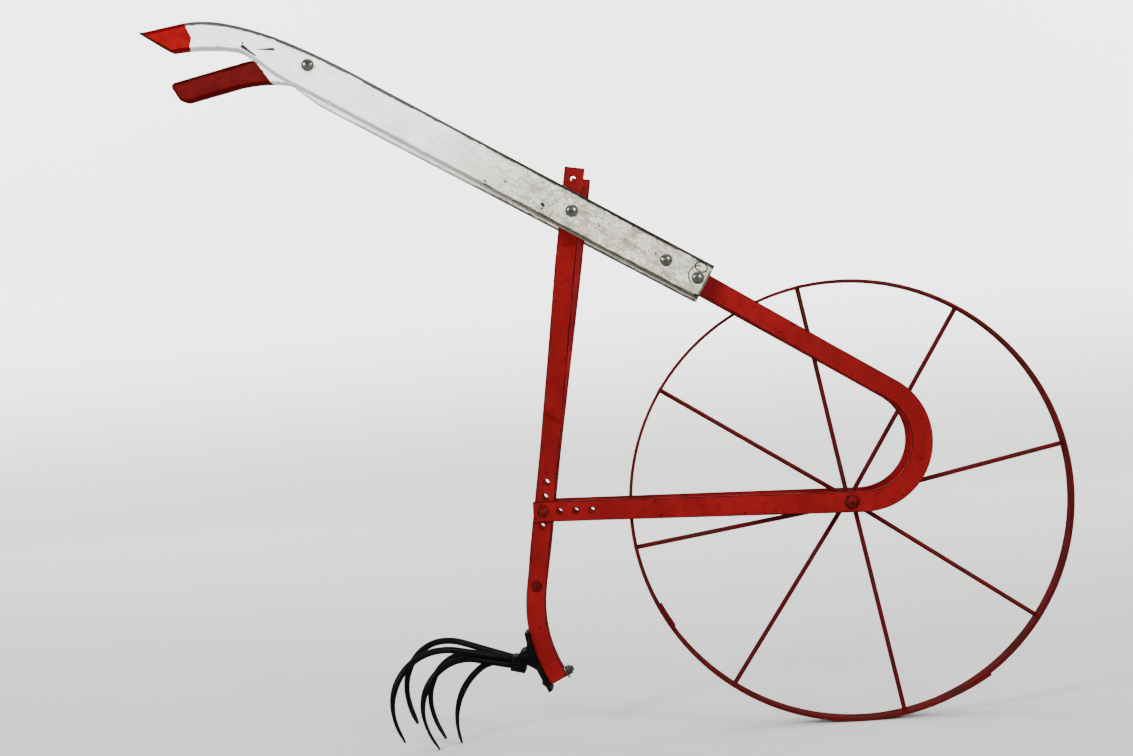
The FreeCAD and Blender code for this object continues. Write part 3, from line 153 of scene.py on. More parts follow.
def shared_effect(steps, outputs=("Mask",), **values):
    """Makes a shader group from a function that takes its wiring, Place and its other inputs."""
    group = bpy.data.node_groups.new(steps.__name__, "ShaderNodeTree")
    values = {"Place": (0.0, 0.0, 0.0), **values}
    for label, value in values.items():
        kind = "Vector" if isinstance(value, tuple) else "Float"
        socket = group.interface.new_socket(name=label, in_out="INPUT", socket_type=f"NodeSocket{kind}")
        socket.default_value = value
    for label in outputs:
        group.interface.new_socket(name=label, in_out="OUTPUT", socket_type="NodeSocketFloat")
    start = group.nodes.new("NodeGroupInput").outputs
    end = group.nodes.new("NodeGroupOutput").inputs
    wire = Wiring(group)
    results = steps(wire, *(start[label] for label in values))
    for label, result in zip(outputs, results if len(outputs) > 1 else [results]):
        wire.feed(end[label], result)


def edge_wear(wire, place, edge, scale, amount, ragged):
    """Where paint has gone from an edge: Edge is 1 on the edge and 0 away from it."""
    broad = wire.noise(place, wire.times(scale, 0.22), 2.0)
    fine = wire.noise(place, scale, 4.0, 0.65)
    clouds = wire.plus(wire.times(broad, 1.3), wire.times(fine, 0.9))
    swing = wire.times(wire.minus(clouds, 1.1), ragged)
    level = wire.plus(wire.minus(wire.plus(edge, amount), 1.0), swing)
    return wire.both(wire.fade(level, 0.0, 0.16), wire.fade(edge, 0.02, 0.2))


def blotches(wire, place, scale, cover, soft):
    """Soft-edged patches. Cover is the share of the surface that they take."""
    cloud = wire.noise(place, scale, 4.0, 0.6, 0.4)
    level = wire.minus(0.72, wire.times(cover, 0.44))
    return wire.fade(cloud, wire.minus(level, soft), wire.plus(level, soft))


def specks(wire, place, scale, size, share):
    """Scattered small ragged spots. Share is how many of the cells have one."""
    shake = wire.vector("SUBTRACT", wire.shake(place, wire.times(scale, 2.2), 3.0), (0.5, 0.5, 0.5))
    moved = wire.vector("ADD", place, wire.vector("DIVIDE", shake, wire.combine(scale, scale, scale)))
    cells = wire.step("ShaderNodeTexVoronoi", {"Vector": moved, "Scale": scale})
    pick = wire.step("ShaderNodeSeparateColor", {"Color": cells["Color"]})
    radius = wire.times(size, pick["Green"])
    near = wire.inverse(wire.fade(cells["Distance"], wire.times(radius, 0.8), radius))
    return wire.both(near, wire.calc("LESS_THAN", pick["Red"], share))


def streaks(wire, place, scale, length, cover):
    """Fine lines along the first axis of Place."""
    drawn = wire.vector("MULTIPLY", place, wire.combine(wire.calc("DIVIDE", 1.0, length), 1.0, 1.0))
    lines = wire.noise(drawn, scale, 2.0, 0.5)
    patchy = wire.noise(place, wire.times(scale, 0.08), 2.0)
    level = wire.plus(lines, wire.times(wire.minus(patchy, 0.5), 0.6))
    low = wire.minus(0.76, wire.times(cover, 0.4))
    return wire.fade(level, low, wire.plus(low, 0.06))


def grain(wire, place, scale):
    """Wood grain along the first axis of Place: light and dark bands, and the height of the open grain."""
    bent = wire.vector("ADD", place, wire.scaled(wire.shake(place, 9.0, 1.0), 0.012))
    bands = wire.noise(wire.vector("MULTIPLY", bent, (0.035, 1.0, 1.0)), scale, 3.0, 0.6)
    pores = wire.noise(wire.vector("MULTIPLY", bent, (0.06, 1.0, 1.0)), wire.times(scale, 4.0), 2.0)
    pitted = wire.times(wire.fade(pores, 0.35, 0.6), 0.3)
    return wire.fade(bands, 0.32, 0.68), wire.plus(wire.times(bands, 0.7), pitted)


def mark(wire, place, start, end, width, taper, ragged):
    """One stroke or dot between two points of a board's face, thinner toward its end."""
    from_start = wire.vector("SUBTRACT", place, start)
    line = wire.vector("SUBTRACT", end, start)
    square = wire.calc("MAXIMUM", wire.measure("DOT_PRODUCT", line, line), 1e-9)
    along = wire.calc("DIVIDE", wire.measure("DOT_PRODUCT", from_start, line), square, clamp=True)
    away = wire.measure("LENGTH", wire.vector("SUBTRACT", from_start, wire.scaled(line, along)))
    rough = wire.minus(wire.noise(place, 900.0, 2.0), 0.5)
    thin = wire.times(width, wire.inverse(wire.times(along, taper)))
    reach = wire.times(thin, wire.plus(1.0, wire.times(rough, wire.times(ragged, 3.0))))
    return wire.inverse(wire.fade(away, wire.times(reach, 0.45), reach))


def ring(wire, place, centre, reach, width, first):
    """A thin oval line on a board's face, drawn only past From."""
    far = wire.measure("LENGTH", wire.vector("DIVIDE", wire.vector("SUBTRACT", place, centre), reach))
    away = wire.times(wire.calc("ABSOLUTE", wire.minus(far, 1.0)), wire.split(reach)[2])
    line = wire.inverse(wire.fade(away, wire.times(width, 0.4), width))
    return wire.both(line, wire.fade(wire.split(place)[0], first, wire.plus(first, 0.002)))


def paint_line(wire, place, rise, reach, height, slope, soft):
    """The far side of a hand-painted edge: a line across a board, in level reach and height."""
    along, _, up = wire.split(place)
    cosine = wire.calc("COSINE", rise)
    sine = wire.calc("SINE", rise)
    level = wire.minus(wire.times(along, cosine), wire.times(up, sine))
    tall = wire.plus(wire.times(along, sine), wire.times(up, cosine))
    line = wire.plus(reach, wire.times(wire.minus(tall, height), slope))
    wobble = wire.times(wire.minus(wire.noise(place, 160.0, 3.0), 0.5), 0.004)
    return wire.fade(wire.plus(wire.minus(level, line), wobble), 0.0, soft)


NOWHERE = (0.0, 0.0, 0.0)
shared_effect(edge_wear, Edge=0.0, Scale=120.0, Amount=0.5, Ragged=1.0)
shared_effect(blotches, Scale=30.0, Cover=0.4, Soft=0.08)
shared_effect(specks, Scale=150.0, Size=0.3, Share=0.2)
shared_effect(streaks, Scale=400.0, Length=20.0, Cover=0.2)
shared_effect(grain, ("Shade", "Height"), Scale=240.0)
shared_effect(mark, Start=NOWHERE, End=NOWHERE, Width=0.001, Taper=0.5, Ragged=0.5)
shared_effect(ring, Middle=NOWHERE, Reach=(0.008, 1.0, 0.006), Width=0.001, From=-1.0)
shared_effect(paint_line, Rise=0.5533, Reach=0.64, Height=0.36, Slope=0.0, Soft=0.0008)

# Materials


def start_finish(name, plain=None):
    """Material with its shader. Values that are the same all over are set on the shader's sockets."""
    material = bpy.data.materials.new(name)
    material.use_nodes = True
    shader = material.node_tree.nodes["Principled BSDF"].inputs
    for label, value in (plain or {}).items():
        shader[label].default_value = value
    wire = Wiring(material.node_tree)
    return material, wire, shader, wire.add("ShaderNodeTexCoord", {}, "Object")


def attribute(wire, name, output="Fac"):
    return wire.add("ShaderNodeAttribute", {}, output, attribute_name=name)


def set_roughness(wire, shader, clouds, low, high, *dirty):
    """Uneven gloss between two values, and duller where the surface is dirty."""
    uneven = wire.fade(clouds, 0.3, 0.7, low, high)
    wire.feed(shader["Roughness"], wire.plus(uneven, wire.both(*dirty)))


def raise_surface(wire, shader, height, strength, distance):
    bump = wire.add("ShaderNodeBump", {"Height": height, "Strength": strength, "Distance": distance})
    wire.feed(shader["Normal"], bump)


def colour(red, green, blue):
    return (red, green, blue, 1.0)


def painted_steel(name, fresh, dull, dirt, line, rust, dull_cover, dirt_cover, wear, gloss, shine=0.07):
    """Old brushed paint on flat bar: dull and dirty patches, dark lines along the edges of worn paint and
    painted shade, rust specks.
    """
    material, wire, shader, place = start_finish(name, {"Specular IOR Level": 0.0, "Coat Roughness": 0.3})
    edge = attribute(wire, "edge")
    drawn = wire.add("ShaderNodeMapping", {"Vector": place, "Scale": (1.0, 1.0, 0.45)})
    broad = wire.use("blotches", drawn, Scale=16.0, Cover=dull_cover, Soft=0.12)
    small = wire.use("blotches", place, Scale=70.0, Cover=dull_cover * 0.8, Soft=0.1)
    worn = wire.either(wire.both(broad, 0.8), wire.both(small, 0.6))
    base = wire.mix(worn, fresh, dull)
    base = wire.over(base, dull, wire.noise(place, 260.0, 3.0), 0.35)
    large_dirt = wire.use("blotches", place, Scale=26.0, Cover=dirt_cover, Soft=0.05)
    small_dirt = wire.use("blotches", place, Scale=120.0, Cover=dirt_cover * 0.8, Soft=0.05)
    dirty = wire.either(large_dirt, wire.both(small_dirt, 0.8))
    base = wire.over(base, dirt, dirty, 0.5)
    # Dark lines along every sharp edge: worn paint, and painted shade standing in for shadowed edge faces.
    dark_edges_worn_and_shaded = wire.use("edge_wear", place, Edge=edge, Scale=110.0, Amount=wear, Ragged=1.0)
    base = wire.over(base, line, dark_edges_worn_and_shaded, 0.85)
    spots = wire.use("specks", place, Scale=190.0, Size=0.42, Share=0.10)
    pits = wire.use("specks", place, Scale=520.0, Size=0.45, Share=0.16)
    chips = wire.use("edge_wear", place, Edge=edge, Scale=260.0, Amount=wear * 0.45, Ragged=1.0)
    rusty = wire.either(spots, wire.both(pits, 0.8), wire.both(chips, 0.9))
    wire.feed(shader["Base Color"], wire.over(base, rust, rusty))
    set_roughness(wire, shader, wire.noise(place, 45.0, 4.0), gloss, gloss + 0.16,
                  wire.either(dirty, rusty, wire.both(worn, 0.5)), 0.22)
    clean = wire.inverse(wire.either(dirty, rusty, wire.both(dark_edges_worn_and_shaded, 0.8)))
    wire.feed(shader["Coat Weight"], wire.between(clean, 0.005, shine))
    runs = wire.times(wire.noise(place, 95.0, 3.0, 0.5), 0.3)
    grit = wire.times(wire.noise(place, 700.0, 2.0), 0.12)
    lost = wire.times(wire.either(rusty, wire.both(dark_edges_worn_and_shaded, 0.5)), 0.25)
    raise_surface(wire, shader, wire.plus(runs, wire.minus(grit, lost)), 0.55, 0.0012)
    return material


def zinc_plate(name, base, dark, gloss, rust_cover):
    """Dull zinc plate with soft stains and a little rust in its hollows."""
    material, wire, shader, place = start_finish(name)
    stain = wire.use("blotches", place, Scale=170.0, Cover=0.45, Soft=0.16)
    tone = wire.over(base, dark, stain, 0.8)
    tone = wire.over(tone, dark, wire.noise(place, 900.0, 3.0), 0.3)
    hollows = wire.use("blotches", place, Scale=260.0, Cover=rust_cover, Soft=0.05)
    spots = wire.use("specks", place, Scale=900.0, Size=0.5, Share=0.12)
    rust = wire.either(hollows, wire.both(spots, 0.8))
    wire.feed(shader["Base Color"], wire.over(tone, colour(0.022, 0.009, 0.004), rust, 0.85))
    wire.feed(shader["Metallic"], wire.between(rust, 1.0, 0.25))
    set_roughness(wire, shader, wire.noise(place, 240.0, 4.0), gloss, gloss + 0.16, rust, 0.35)
    crust = wire.both(attribute(wire, "edge"), rust, 0.4)
    raise_surface(wire, shader, wire.plus(wire.noise(place, 420.0, 3.0), crust), 0.3, 0.0003)
    return material


def forged_iron(name):
    """Black forged iron: scale, rubbed grey on its edges, soil and rust at the working ends."""
    material, wire, shader, place = start_finish(name, {
        "Specular IOR Level": 0.0, "Coat Weight": 0.05, "Coat Roughness": 0.3})
    scale = wire.use("blotches", place, Scale=85.0, Cover=0.42, Soft=0.14)
    tone = wire.mix(scale, colour(0.0011, 0.0013, 0.0016), colour(0.0030, 0.0029, 0.0031))
    tone = wire.over(tone, colour(0.0022, 0.0022, 0.0023), wire.noise(place, 600.0, 3.0), 0.5)
    edges = wire.use("edge_wear", place, Edge=attribute(wire, "edge"), Scale=190.0, Amount=0.22, Ragged=0.9)
    knocks = wire.use("specks", place, Scale=420.0, Size=0.4, Share=0.08)
    rubbed = wire.either(wire.both(edges, 0.9), knocks)
    tone = wire.over(tone, colour(0.012, 0.0115, 0.0115), rubbed, 0.6)
    patches = wire.use("blotches", place, Scale=130.0, Cover=0.13, Soft=0.06)
    rust = wire.either(patches, wire.use("specks", place, Scale=260.0, Size=0.42, Share=0.09))
    tone = wire.over(tone, colour(0.013, 0.0052, 0.0028), rust, 0.6)
    low = wire.fade(wire.split(place)[2], 0.055, 0.0)
    soil = wire.both(low, wire.fade(wire.noise(place, 150.0, 4.0), 0.35, 0.65))
    wire.feed(shader["Base Color"], wire.over(tone, colour(0.020, 0.015, 0.011), soil, 0.45))
    wire.feed(shader["Metallic"], wire.both(rubbed, 0.35))
    set_roughness(wire, shader, wire.noise(place, 120.0, 4.0), 0.30, 0.48, wire.either(rust, soil), 0.35)
    dents = wire.times(wire.noise(place, 110.0, 3.0, 0.5), 0.8)
    grit = wire.times(wire.noise(place, 800.0, 3.0), 0.18)
    raise_surface(wire, shader, wire.plus(dents, wire.plus(grit, wire.both(rust, 0.2))), 0.6, 0.0012)
    return material


OLD_WHITE = colour(0.86, 0.86, 0.85)
CREAM = colour(0.54, 0.525, 0.44)
YELLOWED = colour(0.33, 0.31, 0.215)
GREY_STAIN = colour(0.15, 0.145, 0.105)
FINE_STREAK = colour(0.12, 0.115, 0.09)
UNDERSIDE_DIRT_AND_SHADE = colour(0.10, 0.105, 0.08)
DARK_SPECK = colour(0.035, 0.033, 0.025)
EDGE_DARK = colour(0.010, 0.0095, 0.0075)
EDGE_BROWN = colour(0.030, 0.029, 0.022)
EDGE_RED = colour(0.020, 0.0012, 0.0010)
BARE_EDGE = colour(0.011, 0.009, 0.007)
BARE_RED_EDGE = colour(0.010, 0.0008, 0.0008)
MARK_BLACK = colour(0.009, 0.008, 0.007)
WOOD_DARK = colour(0.020, 0.010, 0.006)
WOOD_LIGHT = colour(0.065, 0.036, 0.020)
WOOD_STAIN = colour(0.010, 0.006, 0.005)


def on_face(spot, depth=0.0):
    """A place on a board's face, from millimetres along it and up from its middle line."""
    return (spot[0] * MM, depth, spot[1] * MM)


def painted_wood(name, marks, rings, line_points, grip_fresh, grip_dull, rise, dirt_start, shade):
    """Old white paint on a wooden handle, red on its grip, worn, cracked and dirty along its edges, with
    painted shade along its top arris and on its underside.
    """
    material, wire, shader, _ = start_finish(name, {"Specular IOR Level": 0.0, "Coat Roughness": 0.35})
    board = attribute(wire, "board", "Vector")
    arris = attribute(wire, "arris")
    upper = wire.calc("MAXIMUM", arris, 0.0)
    lower = wire.calc("MAXIMUM", wire.times(arris, -1.0), 0.0)
    broken = attribute(wire, "broken")
    along, out, _ = wire.split(board)
    face = wire.vector("MULTIPLY", board, (1.0, 0.0, 1.0))
    drawn = wire.vector("MULTIPLY", board, (0.22, 1.0, 1.0))

    old = wire.fade(along, dirt_start + 0.2, dirt_start)
    worn_white = wire.fade(along, dirt_start + 0.38, dirt_start + 0.14)
    large = wire.use("blotches", board, Scale=16.0, Cover=0.62, Soft=0.2)
    base = wire.over(OLD_WHITE, shade, worn_white, large)
    base = wire.over(base, CREAM, old, 0.62)
    patches = wire.use("blotches", board, Scale=48.0, Cover=0.55, Soft=0.16)
    base = wire.over(base, YELLOWED, wire.both(old, patches), 0.8)
    long_stains = wire.use("blotches", drawn, Scale=150.0, Cover=0.42, Soft=0.06)
    short_stains = wire.use("blotches", board, Scale=230.0, Cover=0.42, Soft=0.06)
    stains = wire.either(long_stains, wire.both(short_stains, 0.8))
    grey = wire.both(wire.between(old, 0.22, 1.0), stains)
    base = wire.over(base, GREY_STAIN, grey, 0.7)
    fine = wire.use("streaks", board, Scale=520.0, Length=14.0, Cover=0.14)
    lines = wire.both(wire.between(old, 0.3, 1.0), fine)
    base = wire.over(base, FINE_STREAK, lines, 0.6)
    uneven = wire.fade(wire.noise(drawn, 90.0, 4.0), 0.25, 0.6, 0.55, 1.0)
    # Faces that point down are darker: dirt, and painted shade under the board.
    underside_dirt_and_shade = wire.both(attribute(wire, "under"), wire.between(old, 0.35, 1.0), uneven)
    base = wire.over(base, UNDERSIDE_DIRT_AND_SHADE, underside_dirt_and_shade, 0.8)

    red_parts = [wire.use("paint_line", board, Rise=rise, Reach=reach, Height=height, Slope=slope)
                 for reach, height, slope in line_points]
    red = wire.chain("MINIMUM", red_parts) if red_parts else wire.both(broken, 0.0)
    faded = wire.use("blotches", board, Scale=60.0, Cover=0.45, Soft=0.14)
    base = wire.mix(red, base, wire.mix(faded, grip_fresh, grip_dull))

    large_specks = wire.use("specks", board, Scale=120.0, Size=0.36, Share=0.26)
    small_specks = wire.use("specks", board, Scale=260.0, Size=0.46, Share=0.42)
    all_specks = wire.either(large_specks, wire.both(small_specks, 0.75))
    specked = wire.both(wire.between(old, 0.3, 1.0), wire.inverse(red), all_specks)
    base = wire.over(base, DARK_SPECK, specked, 0.85)

    edge_patches = wire.use("blotches", board, Scale=120.0, Cover=0.5, Soft=0.1)
    edge_tone = wire.mix(red, wire.mix(edge_patches, EDGE_DARK, EDGE_BROWN), EDGE_RED)
    # Nearly unbroken dark line along the upper arrises: worn paint, and painted shade of the top edge.
    top_edge_wear_and_shade = wire.use("edge_wear", board, Edge=upper, Scale=170.0, Amount=0.92, Ragged=0.7)
    knocked = wire.use("edge_wear", board, Edge=upper, Scale=60.0, Amount=0.50, Ragged=1.3)
    top_bare = wire.both(wire.between(old, 0.4, 1.0), knocked)
    low_wear = wire.use("edge_wear", board, Edge=lower, Scale=150.0, Amount=0.50, Ragged=0.8)
    base = wire.over(base, edge_tone, top_edge_wear_and_shade, wire.between(red, 0.95, 0.6))
    base = wire.over(base, edge_tone, low_wear, wire.between(old, 0.5, 0.85))
    base = wire.over(base, wire.mix(red, BARE_EDGE, BARE_RED_EDGE), top_bare, 0.92)

    strokes = [wire.use("mark", face, Start=on_face(start), End=on_face(end), Width=width * MM,
                        Taper=taper, Ragged=ragged) for start, end, width, taper, ragged in marks]
    strokes += [wire.use("ring", face, Middle=on_face(centre), Reach=on_face(reach, 1.0),
                         Width=1.05 * MM, From=start * MM) for centre, reach, start in rings]
    if strokes:
        cracked = wire.both(wire.either(*strokes), wire.fade(out, 0.011, 0.012))
        base = wire.over(base, MARK_BLACK, cracked, 0.985)
    else:
        cracked = wire.both(broken, 0.0)

    wood = wire.mix(wire.use("grain", board, "Shade", Scale=260.0), WOOD_DARK, WOOD_LIGHT)
    wood = wire.mix(wire.use("blotches", board, Scale=110.0, Cover=0.55, Soft=0.15), wood, WOOD_STAIN)
    wire.feed(shader["Base Color"], wire.mix(broken, base, wood))

    dirt = wire.either(grey, lines, specked, top_edge_wear_and_shade, low_wear, broken)
    set_roughness(wire, shader, wire.noise(board, 60.0, 4.0), 0.34, 0.5, dirt, 0.25)
    bright = wire.inverse(wire.both(red, 0.85))
    wire.feed(shader["Coat Weight"], wire.both(wire.between(dirt, 0.10, 0.01), bright))
    open_grain = wire.use("grain", board, "Height", Scale=300.0)
    brushed = wire.noise(wire.vector("MULTIPLY", board, (0.05, 1.0, 1.0)), 520.0, 3.0)
    waves = wire.plus(wire.times(brushed, 0.22), wire.times(wire.noise(board, 40.0, 3.0), 0.35))
    height = wire.plus(wire.times(open_grain, wire.between(broken, 0.22, 1.4)), waves)
    sunk = wire.either(cracked, wire.both(specked, 0.4), wire.both(top_bare, 0.5))
    raise_surface(wire, shader, wire.minus(height, wire.times(sunk, 0.8)), 0.5, 0.0009)
    return material


# The line tones colour the dark edge lines: worn paint, and painted shade of the edge faces.
RED = {"fresh": colour(0.142, 0.0044, 0.0056), "dull": colour(0.086, 0.0030, 0.0038),
       "dirt": colour(0.040, 0.0030, 0.0032), "line": colour(0.0095, 0.0010, 0.0011),
       "rust": colour(0.016, 0.0045, 0.0020)}
MAROON = {"fresh": colour(0.066, 0.0034, 0.0046), "dull": colour(0.042, 0.0030, 0.0034),
          "dirt": colour(0.0200, 0.0090, 0.0054), "line": colour(0.008, 0.0018, 0.0016),
          "rust": colour(0.016, 0.0062, 0.0030)}
BROWN = {"fresh": colour(0.104, 0.0036, 0.0040), "dull": colour(0.060, 0.0040, 0.0032),
         "dirt": colour(0.013, 0.0034, 0.0022), "line": colour(0.008, 0.0018, 0.0014),
         "rust": colour(0.018, 0.0062, 0.0028)}

FINISH = {
    "red_paint": painted_steel("red_bar_paint", **RED, dull_cover=0.46, dirt_cover=0.10, wear=0.60,
                               gloss=0.33),
    "bolt_paint": painted_steel("painted_bolt", **BROWN, dull_cover=0.5, dirt_cover=0.4, wear=0.6,
                                gloss=0.42),
    "wheel_paint": painted_steel("wheel_paint_and_rust", **MAROON, dull_cover=0.5, dirt_cover=0.44,
                                 wear=0.5, gloss=0.5, shine=0.015),
    "zinc": zinc_plate("zinc_bolts", colour(0.118, 0.126, 0.105), colour(0.034, 0.037, 0.030), 0.14, 0.04),
    "zinc_nut": zinc_plate("zinc_nuts", colour(0.062, 0.062, 0.054), colour(0.026, 0.025, 0.021), 0.22, 0.2),
    "black_iron": forged_iron("black_forged_iron"),
}

# Handle boards: their own directions, marks and materials


def middle(node):
    low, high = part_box(node)
    return (low + high) / 2


def rim_circle():
    """The wheel's middle and the outer radius of its rim."""
    low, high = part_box("wheel_rim")
    return (low + high) / 2, (high.x - low.x) / 2


def board_directions(side):
    """A handle's front bolt, and its directions along, outward and up."""
    holes = {mount["name"]: mount["axis"] for mount in frame["record"]["mounts"]}
    outward = Vector(holes[f"standard_end_hole_{side}"]).normalized()
    front = middle(f"handle_bolt_front_{side}")
    run = middle(f"handle_bolt_rear_{side}") - front
    along = (run - outward * run.dot(outward)).normalized()
    up = outward.cross(along)
    return front, along, outward, up if up.z > 0 else -up


BOARD = {side: board_directions(side) for side in SIDES}
RISE = math.asin(BOARD["right"][1].z)

# Marks on the outer face of the near handle, in millimetres along it and up from its middle line.
NEAR_MARKS = (
    ((674, -11.8), (668, -13.0), 3.6, 0.2, 0.7),
    ((671, -12.4), (655, -15.6), 2.5, 0.4, 0.5),
    ((676.5, -7.0), (675.5, -8.5), 1.6, 0.3, 0.5),
    ((639, 2.3), (658, -7.9), 2.7, 0.85, 0.3),
    ((232, -11.5), (229, -12.5), 3.2, 0.2, 0.6),
    ((230, -16.5), (229.5, -16.8), 1.8, 0.0, 0.4),
    ((303.5, 24.2), (284, 23.4), 3.2, 0.2, 0.9),
    ((284, 23.6), (263.8, 24.4), 2.8, 0.3, 0.9),
    ((290, -8), (288.5, -8.4), 1.4, 0.0, 0.4),
    ((314, -19.4), (311, -20), 1.5, 0.3, 0.5),
    ((311, -24.6), (301, -24.8), 2.4, 0.5, 0.8),
    ((360, 24.4), (352, 24.5), 2.4, 0.5, 0.8),
    ((150, 24.6), (128, 24.8), 2.0, 0.4, 0.9),
    ((66, 24.5), (48, 24.7), 2.4, 0.5, 0.9),
    ((28, 24.6), (10, 24.8), 2.2, 0.5, 0.9),
    ((40, -24.6), (8, -24.8), 2.0, 0.4, 0.9),
    ((-7.0, -23.6), (-12.2, -23.0), 4.2, 0.0, 0.5),
)
NEAR_RINGS = (
    ((4.0, 14.0), (8.4, 6.2), -100.0),
    ((2.0, 2.0), (13.4, 13.6), 4.0),
)
FAR_MARKS = (
    ((560, 24.7), (530, 24.8), 1.5, 0.5, 0.9),
    ((205, -8), (190, -12), 1.2, 0.5, 0.5),
)
FINISH["near_handle"] = painted_wood(
    "near_handle_paint", NEAR_MARKS, NEAR_RINGS, ((0.6405, 0.3607, 0.4), (0.6405, 0.3607, -0.2)),
    colour(0.185, 0.0040, 0.0046), colour(0.140, 0.0036, 0.0040), RISE, 0.20, colour(0.68, 0.675, 0.64))
# The far handle's grip reds and grey white are darker than the near handle's: painted shade on a copy of the
# same paint.
FINISH["far_handle"] = painted_wood(
    "far_handle_shaded_paint", FAR_MARKS, (), ((0.617, 0.354, 0.645),),
    colour(0.074, 0.0026, 0.0026), colour(0.052, 0.0022, 0.0022), RISE, 0.24, colour(0.64, 0.63, 0.575))
FINISH["rung"] = painted_wood(
    "rung_paint", (), (), (), RED["fresh"], RED["dull"], RISE, 0.2, colour(0.66, 0.65, 0.595))

# Pieces

BODY_OF = {node: body for body, nodes in frame["record"]["behaviour"]["bodies"].items() for node in nodes}


def new_object(name, data):
    piece = bpy.data.objects.new(name, data)
    bpy.context.scene.collection.objects.link(piece)
    return piece


def merged_copy(node, name):
    """Copy of a CAD node with its loose triangles joined."""
    mesh = frame["nodes"][node].data.copy()
    mesh.name = name
    for label in ("custom_normal", "sharp_face", "sharp_edge"):
        if label in mesh.attributes:
            mesh.attributes.remove(mesh.attributes[label])
    mesh.materials.clear()
    shape = bmesh.new()
    shape.from_mesh(mesh)
    bmesh.ops.remove_doubles(shape, verts=shape.verts, dist=0.00001)
    bmesh.ops.dissolve_degenerate(shape, edges=shape.edges, dist=0.00001)
    bmesh.ops.recalc_face_normals(shape, faces=shape.faces)
    shape.to_mesh(mesh)
    shape.free()
    return new_object(name, mesh)


def dress(piece, nodes, finish, replaced=True):
    """Gives a piece its material and its body, and hides the nodes that it replaces."""
    piece.data.materials.clear()
    piece.data.materials.append(FINISH[finish])
    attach(piece, BODY_OF[nodes[0]])
    if replaced:
        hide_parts(*nodes)
    return piece


def sharp_edges(shape):
    return [edge for edge in shape.edges
            if len(edge.link_faces) == 2 and edge.calc_face_angle(0.0) > CORNER_ANGLE]


def face_groups(shape, sharp):
    """Groups of faces that meet without a sharp edge between them, in a fixed order."""
    taken = set()
    for first in shape.faces:
        if first in taken:
            continue
        taken.add(first)
        group = [first]
        for face in group:
            for edge in face.edges:
                if edge in sharp:
                    continue
                for other in edge.link_faces:
                    if other not in taken:
                        taken.add(other)
                        group.append(other)
        yield group


CORNER_ANGLE = math.radians(30.0)
SMOOTH_ANGLE = math.radians(38.0)
NARROWEST_RIM = 0.0002


def soften(piece, rim, radius):
    """Rounds the sharp edges of a steel piece and records how near each point is to one."""
    mesh = piece.data
    shape = bmesh.new()
    shape.from_mesh(mesh)
    bmesh.ops.dissolve_limit(shape, angle_limit=math.radians(0.8), verts=shape.verts, edges=shape.edges,
                             use_dissolve_boundaries=False, delimit=set())
    sharp = set(sharp_edges(shape))
    near = shape.verts.layers.float.new("edge")
    for group in list(face_groups(shape, sharp)):
        members = set(group)
        border = sum(edge.calc_length() for face in group for edge in face.edges
                     if any(other not in members for other in edge.link_faces))
        area = sum(face.calc_area() for face in group)
        width = min(rim, 0.4 * area / border) if border else 0.0
        if width > NARROWEST_RIM:
            bmesh.ops.inset_region(shape, faces=group, thickness=width, use_even_offset=True,
                                   use_boundary=True)
    shape.edges.ensure_lookup_table()
    sharp = sharp_edges(shape)
    for edge in sharp:
        for corner_point in edge.verts:
            corner_point[near] = 1.0
    bmesh.ops.bevel(shape, geom=sharp, offset=radius, offset_type="OFFSET", segments=2, profile=0.5,
                    affect="EDGES", clamp_overlap=False)
    shape.to_mesh(mesh)
    shape.free()
    mesh.shade_smooth()
    mesh.set_sharp_from_angle(angle=SMOOTH_ANGLE)
    return piece


def smooth_piece(piece, angle=40.0):
    piece.data.shade_smooth()
    piece.data.set_sharp_from_angle(angle=math.radians(angle))
    return piece


def applied(piece):
    """The piece's mesh with its modifiers applied."""
    bpy.context.view_layer.update()
    seen = piece.evaluated_get(bpy.context.evaluated_depsgraph_get())
    mesh = bpy.data.meshes.new_from_object(seen)
    piece.modifiers.clear()
    old = piece.data
    piece.data = mesh
    bpy.data.meshes.remove(old)
    return piece


RIM_PAINT = 0.9 * MM
RIM_BAND = 2.6 * MM


def painted_rim(piece):
    """Adds many coats of paint to the inner face of the tyre band."""
    centre, radius = rim_circle()
    for corner in piece.data.vertices:
        out = Vector((corner.co.x - centre.x, 0.0, corner.co.z - centre.z))
        if out.length < radius - RIM_BAND:
            corner.co -= out.normalized() * RIM_PAINT
    return piece


TINE_SCALE = 0.4 * MM
WORN_BELOW = 14.0 * MM
WORN_FADE = 30.0 * MM


def with_scale(piece):
    """Adds the coat of black scale and paint on a tine, which fades out toward its worn tip."""
    mesh = piece.data
    for corner, normal in zip(mesh.vertices, [tuple(entry.vector) for entry in mesh.vertex_normals]):
        share = min(max((corner.co.z - WORN_BELOW) / WORN_FADE, 0.0), 1.0)
        corner.co += Vector(normal) * TINE_SCALE * share
    return piece


def finish_steel(node, finish, rim=2.2, radius=0.6):
    return dress(soften(merged_copy(node, f"{node}_finished"), rim * MM, radius * MM), [node], finish)


